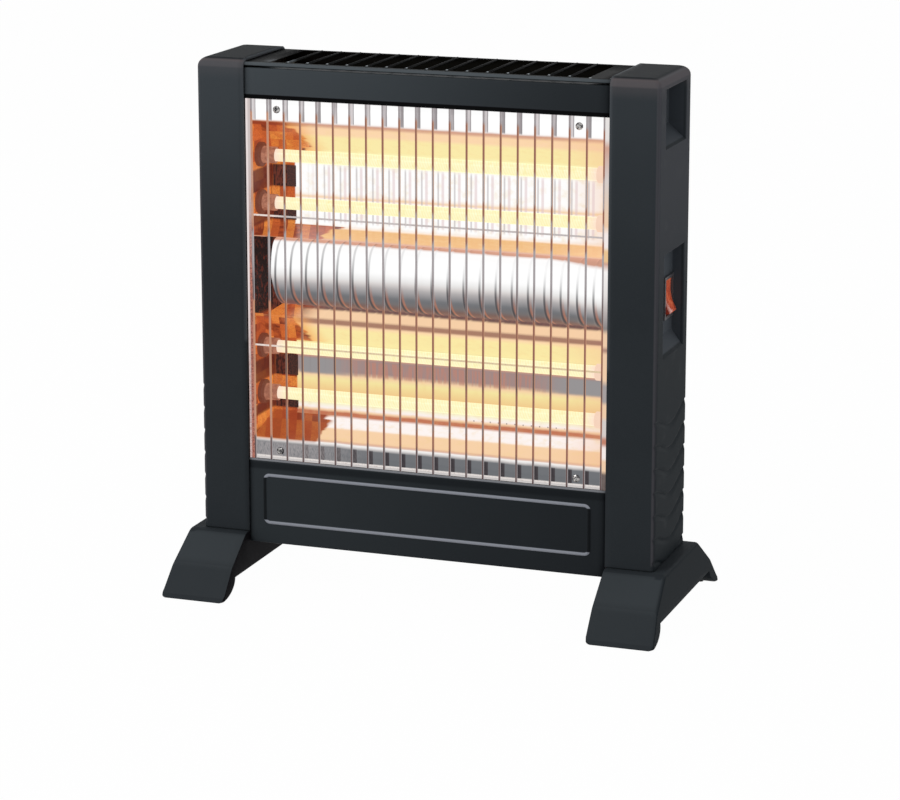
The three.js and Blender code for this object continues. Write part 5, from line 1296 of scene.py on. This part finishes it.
def grille_shape(low):
    """The top sheet: a bent line carried along X, its faces left out where the slots are."""
    line = rounded_line([
        (BODY_FRONT + GRILLE_HEM, low, 0), (BODY_FRONT, low, GRILLE_HEM_RADIUS),
        (BODY_FRONT, BODY_TOP, GRILLE_EDGE_RADIUS),
        (-SLOT_HALF_LENGTH, BODY_TOP, 0), (SLOT_HALF_LENGTH, BODY_TOP, 0),
        (BODY_BACK, BODY_TOP, GRILLE_EDGE_RADIUS), (BODY_BACK, GRILLE_FOOT, 0)])
    centres = SLOT_PITCH * (np.arange(SLOT_COUNT) - (SLOT_COUNT - 1) / 2)
    edges = np.concatenate([centres - SLOT_WIDTH / 2, centres + SLOT_WIDTH / 2])
    x = np.unique(np.round(np.concatenate([[-BODY_HALF, BODY_HALF], edges]), 3))
    points, faces = bent_sheet(line, x)
    middle = points[faces].mean(1)
    beside = np.abs(middle[:, :1] - centres[None]).min(1)
    slot = (beside < SLOT_WIDTH / 2) & (np.abs(middle[:, 1]) < SLOT_HALF_LENGTH)
    return (points, faces[~slot]), (centres[:-1] + centres[1:]) / 2


front_enamel, grille_top_enamel = hemmed_enamel(), shaded_grille_paint()
grille_low = BODY_TOP - GRILLE_LIP
upper_line = rounded_line([
    (BODY_FRONT + UPPER_RETURN, grille_low - GROOVE, 0), (BODY_FRONT, grille_low - GROOVE, 1.6),
    (BODY_FRONT, WINDOW_TOP, 1.4), (BODY_FRONT + LIP_DEPTH, WINDOW_TOP, 0)])
upper_sheet = bent_sheet(upper_line, steps(-BODY_HALF, BODY_HALF, 12.0))
top_sheet, rib_places = grille_shape(grille_low)
bar_end = SLOT_HALF_LENGTH + RIB_BAR_OVERLAP
bar = wire(RIB_BAR_RADIUS, -bar_end, bar_end, "y", sides=16)
bars = joined(*[moved(bar, x, 0, BODY_TOP - RIB_BAR_SINK) for x in rib_places])
sheets = [
    make_piece("lower_front_sheet", panel_shape(), "enamel", "lower_front_panel", front_enamel),
    make_piece("upper_front_sheet", upper_sheet, "enamel", "upper_front_panel", front_enamel,
               flip=True),
    make_piece("top_grille_sheet", top_sheet, "enamel", "top_grille", grille_top_enamel),
]
for sheet in sheets:
    thicken(sheet, SHEET_WALL)
make_piece("top_grille_ribs", bars, "enamel", "top_grille", grille_top_enamel)


# ---------------------------------------------------------------- rocker switch

ROCKER_HALF_WIDTH, ROCKER_HALF_HEIGHT, ROCKER_TILT = 11.75, 16.0, -10
ROCKER_FACE, ROCKER_RISE, ROCKER_EDGE_DROP = 4.5, 3.0, 0.7
ROCKER_SKIRT, ROCKER_FOOT, ROCKER_FOOT_SHARE = 2.0, -5.0, 0.56


def rocker_shape():
    """The rocker level: its face dips between two raised ends, its sides run to a narrow foot."""
    v, u = np.meshgrid(np.linspace(-1, 1, 33), np.linspace(-1, 1, 17), indexing="ij")
    edge = np.clip((np.abs(u) - 0.86) / 0.14, 0, 1) ** 2 \
        + np.clip((np.abs(v) - 0.93) / 0.07, 0, 1) ** 2
    face = ROCKER_FACE + ROCKER_RISE * np.abs(v) ** 1.6 - ROCKER_EDGE_DROP * np.clip(edge, 0, 1)
    top = np.stack([face, ROCKER_HALF_WIDTH * u, ROCKER_HALF_HEIGHT * v], -1)
    index = np.arange(face.size).reshape(face.shape)
    ring = np.concatenate([index[0, :-1], index[:-1, -1], index[-1, :0:-1], index[:0:-1, 0]])
    rim = top.reshape(-1, 3)[ring]
    skirt = rim * (0, 1, 1) + (ROCKER_SKIRT, 0, 0)
    foot = rim * (0, 1, ROCKER_FOOT_SHARE) + (ROCKER_FOOT, 0, 0)
    low = face.size + np.arange(len(ring))
    lowest = low + len(ring)
    sides = [np.stack([a, np.roll(a, -1), np.roll(b, -1), b], 1)
             for a, b in ((ring, low), (low, lowest))]
    faces = np.concatenate([grid_faces(*face.shape)[:, ::-1], *sides]).tolist()
    return np.concatenate([top.reshape(-1, 3), skirt, foot]), faces + [lowest.tolist()]


def pressed(shape, degrees):
    """Turns a shape about the rocker's pin, which lies along Y."""
    points, faces = shape
    angle = math.radians(degrees)
    x, y, z = points.T
    return np.stack([x * math.cos(angle) + z * math.sin(angle), y,
                     z * math.cos(angle) - x * math.sin(angle)], 1), faces


make_piece("rocker_key", moved(pressed(rocker_shape(), ROCKER_TILT), *PIVOT), "rocker_red", "rocker",
           body="rocker", crease=50)


# ---------------------------------------------------------------- floor, light and camera

FLOOR_REACH = 12.0
FLOOR_GREY, FLOOR_WHITENESS = (0.82, 0.82, 0.82, 1), 0.985
PLAIN_WHITE, SOFT_GREY, SOFT_STRENGTH = (1, 1, 1, 1), (0.9, 0.95, 1.0, 1), 0.5
CAMERA_PLACE = (0.9935, -2.7697, 0.92536)
CAMERA_AIM = (0.00814, 0.0, 0.27134)
LENS, SENSOR, SHIFT_Y = 125.1, 36.0, -80 / 900
LAMP_AIM = (0, 0, 0.27)
LAMPS = [("key", (-1.6, -2.2, 2.4), 1.6, 42), ("fill", (2.4, -1.2, 1.4), 1.8, 3.5),
         ("top", (0.2, 0.6, 2.4), 1.4, 1.5)]


def seen(shader):
    """1 for what the camera, gloss or glass sees, 0 for the light that falls on the object."""
    camera_ray, glossy, through = [shader.node("LightPath", output="Is %s Ray" % ray)
                                   for ray in ("Camera", "Glossy", "Transmission")]
    return camera_ray.most(glossy).most(through)


def stage_floor():
    """A wide pale floor that shows white to the camera and in gloss, and keeps a soft shadow."""
    shader = Shader("pale_floor")
    plain = shader.node("BsdfDiffuse", {"Color": FLOOR_GREY})
    white = shader.node("Emission", {"Color": PLAIN_WHITE, "Strength": 1.0})
    mixed = shader.node("MixShader", {0: seen(shader) * FLOOR_WHITENESS, 1: plain, 2: white})
    shader.node("OutputMaterial", {"Surface": mixed})
    mesh = bpy.data.meshes.new("floor")
    far = FLOOR_REACH
    mesh.from_pydata([(-far, -far, 0), (far, -far, 0), (far, far, 0), (-far, far, 0)], [],
                     [(0, 1, 2, 3)])
    mesh.materials.append(shader.owner)
    floor = bpy.data.objects.new("floor", mesh)
    bpy.context.scene.collection.objects.link(floor)


def studio_world():
    """White to the camera and in gloss; a plain soft grey light elsewhere."""
    shader = Shader("studio", bpy.data.worlds)
    dim = shader.node("Background", {"Color": SOFT_GREY, "Strength": SOFT_STRENGTH})
    bright = shader.node("Background", {"Color": PLAIN_WHITE, "Strength": 1.0})
    mixed = shader.node("MixShader", {0: seen(shader), 1: dim, 2: bright})
    shader.node("OutputWorld", {"Surface": mixed})
    bpy.context.scene.world = shader.owner


def set_up(name, data, place, aim):
    """Puts a lamp or camera at a place, pointing at another."""
    made = bpy.data.objects.new(name, data)
    made.location = place
    made.rotation_euler = (Vector(aim) - Vector(place)).to_track_quat("-Z", "Y").to_euler()
    bpy.context.scene.collection.objects.link(made)
    return made


stage_floor()
studio_world()
for name, place, size, power in LAMPS:
    light = bpy.data.lights.new(name, "AREA")
    light.size, light.energy = size, power
    set_up(name, light, place, LAMP_AIM)
view = bpy.data.cameras.new("camera")
view.lens, view.sensor_width, view.shift_y = LENS, SENSOR, SHIFT_Y
view.clip_end = 60
bpy.context.scene.camera = set_up("camera", view, CAMERA_PLACE, CAMERA_AIM)
bpy.context.scene.view_settings.view_transform = "Standard"
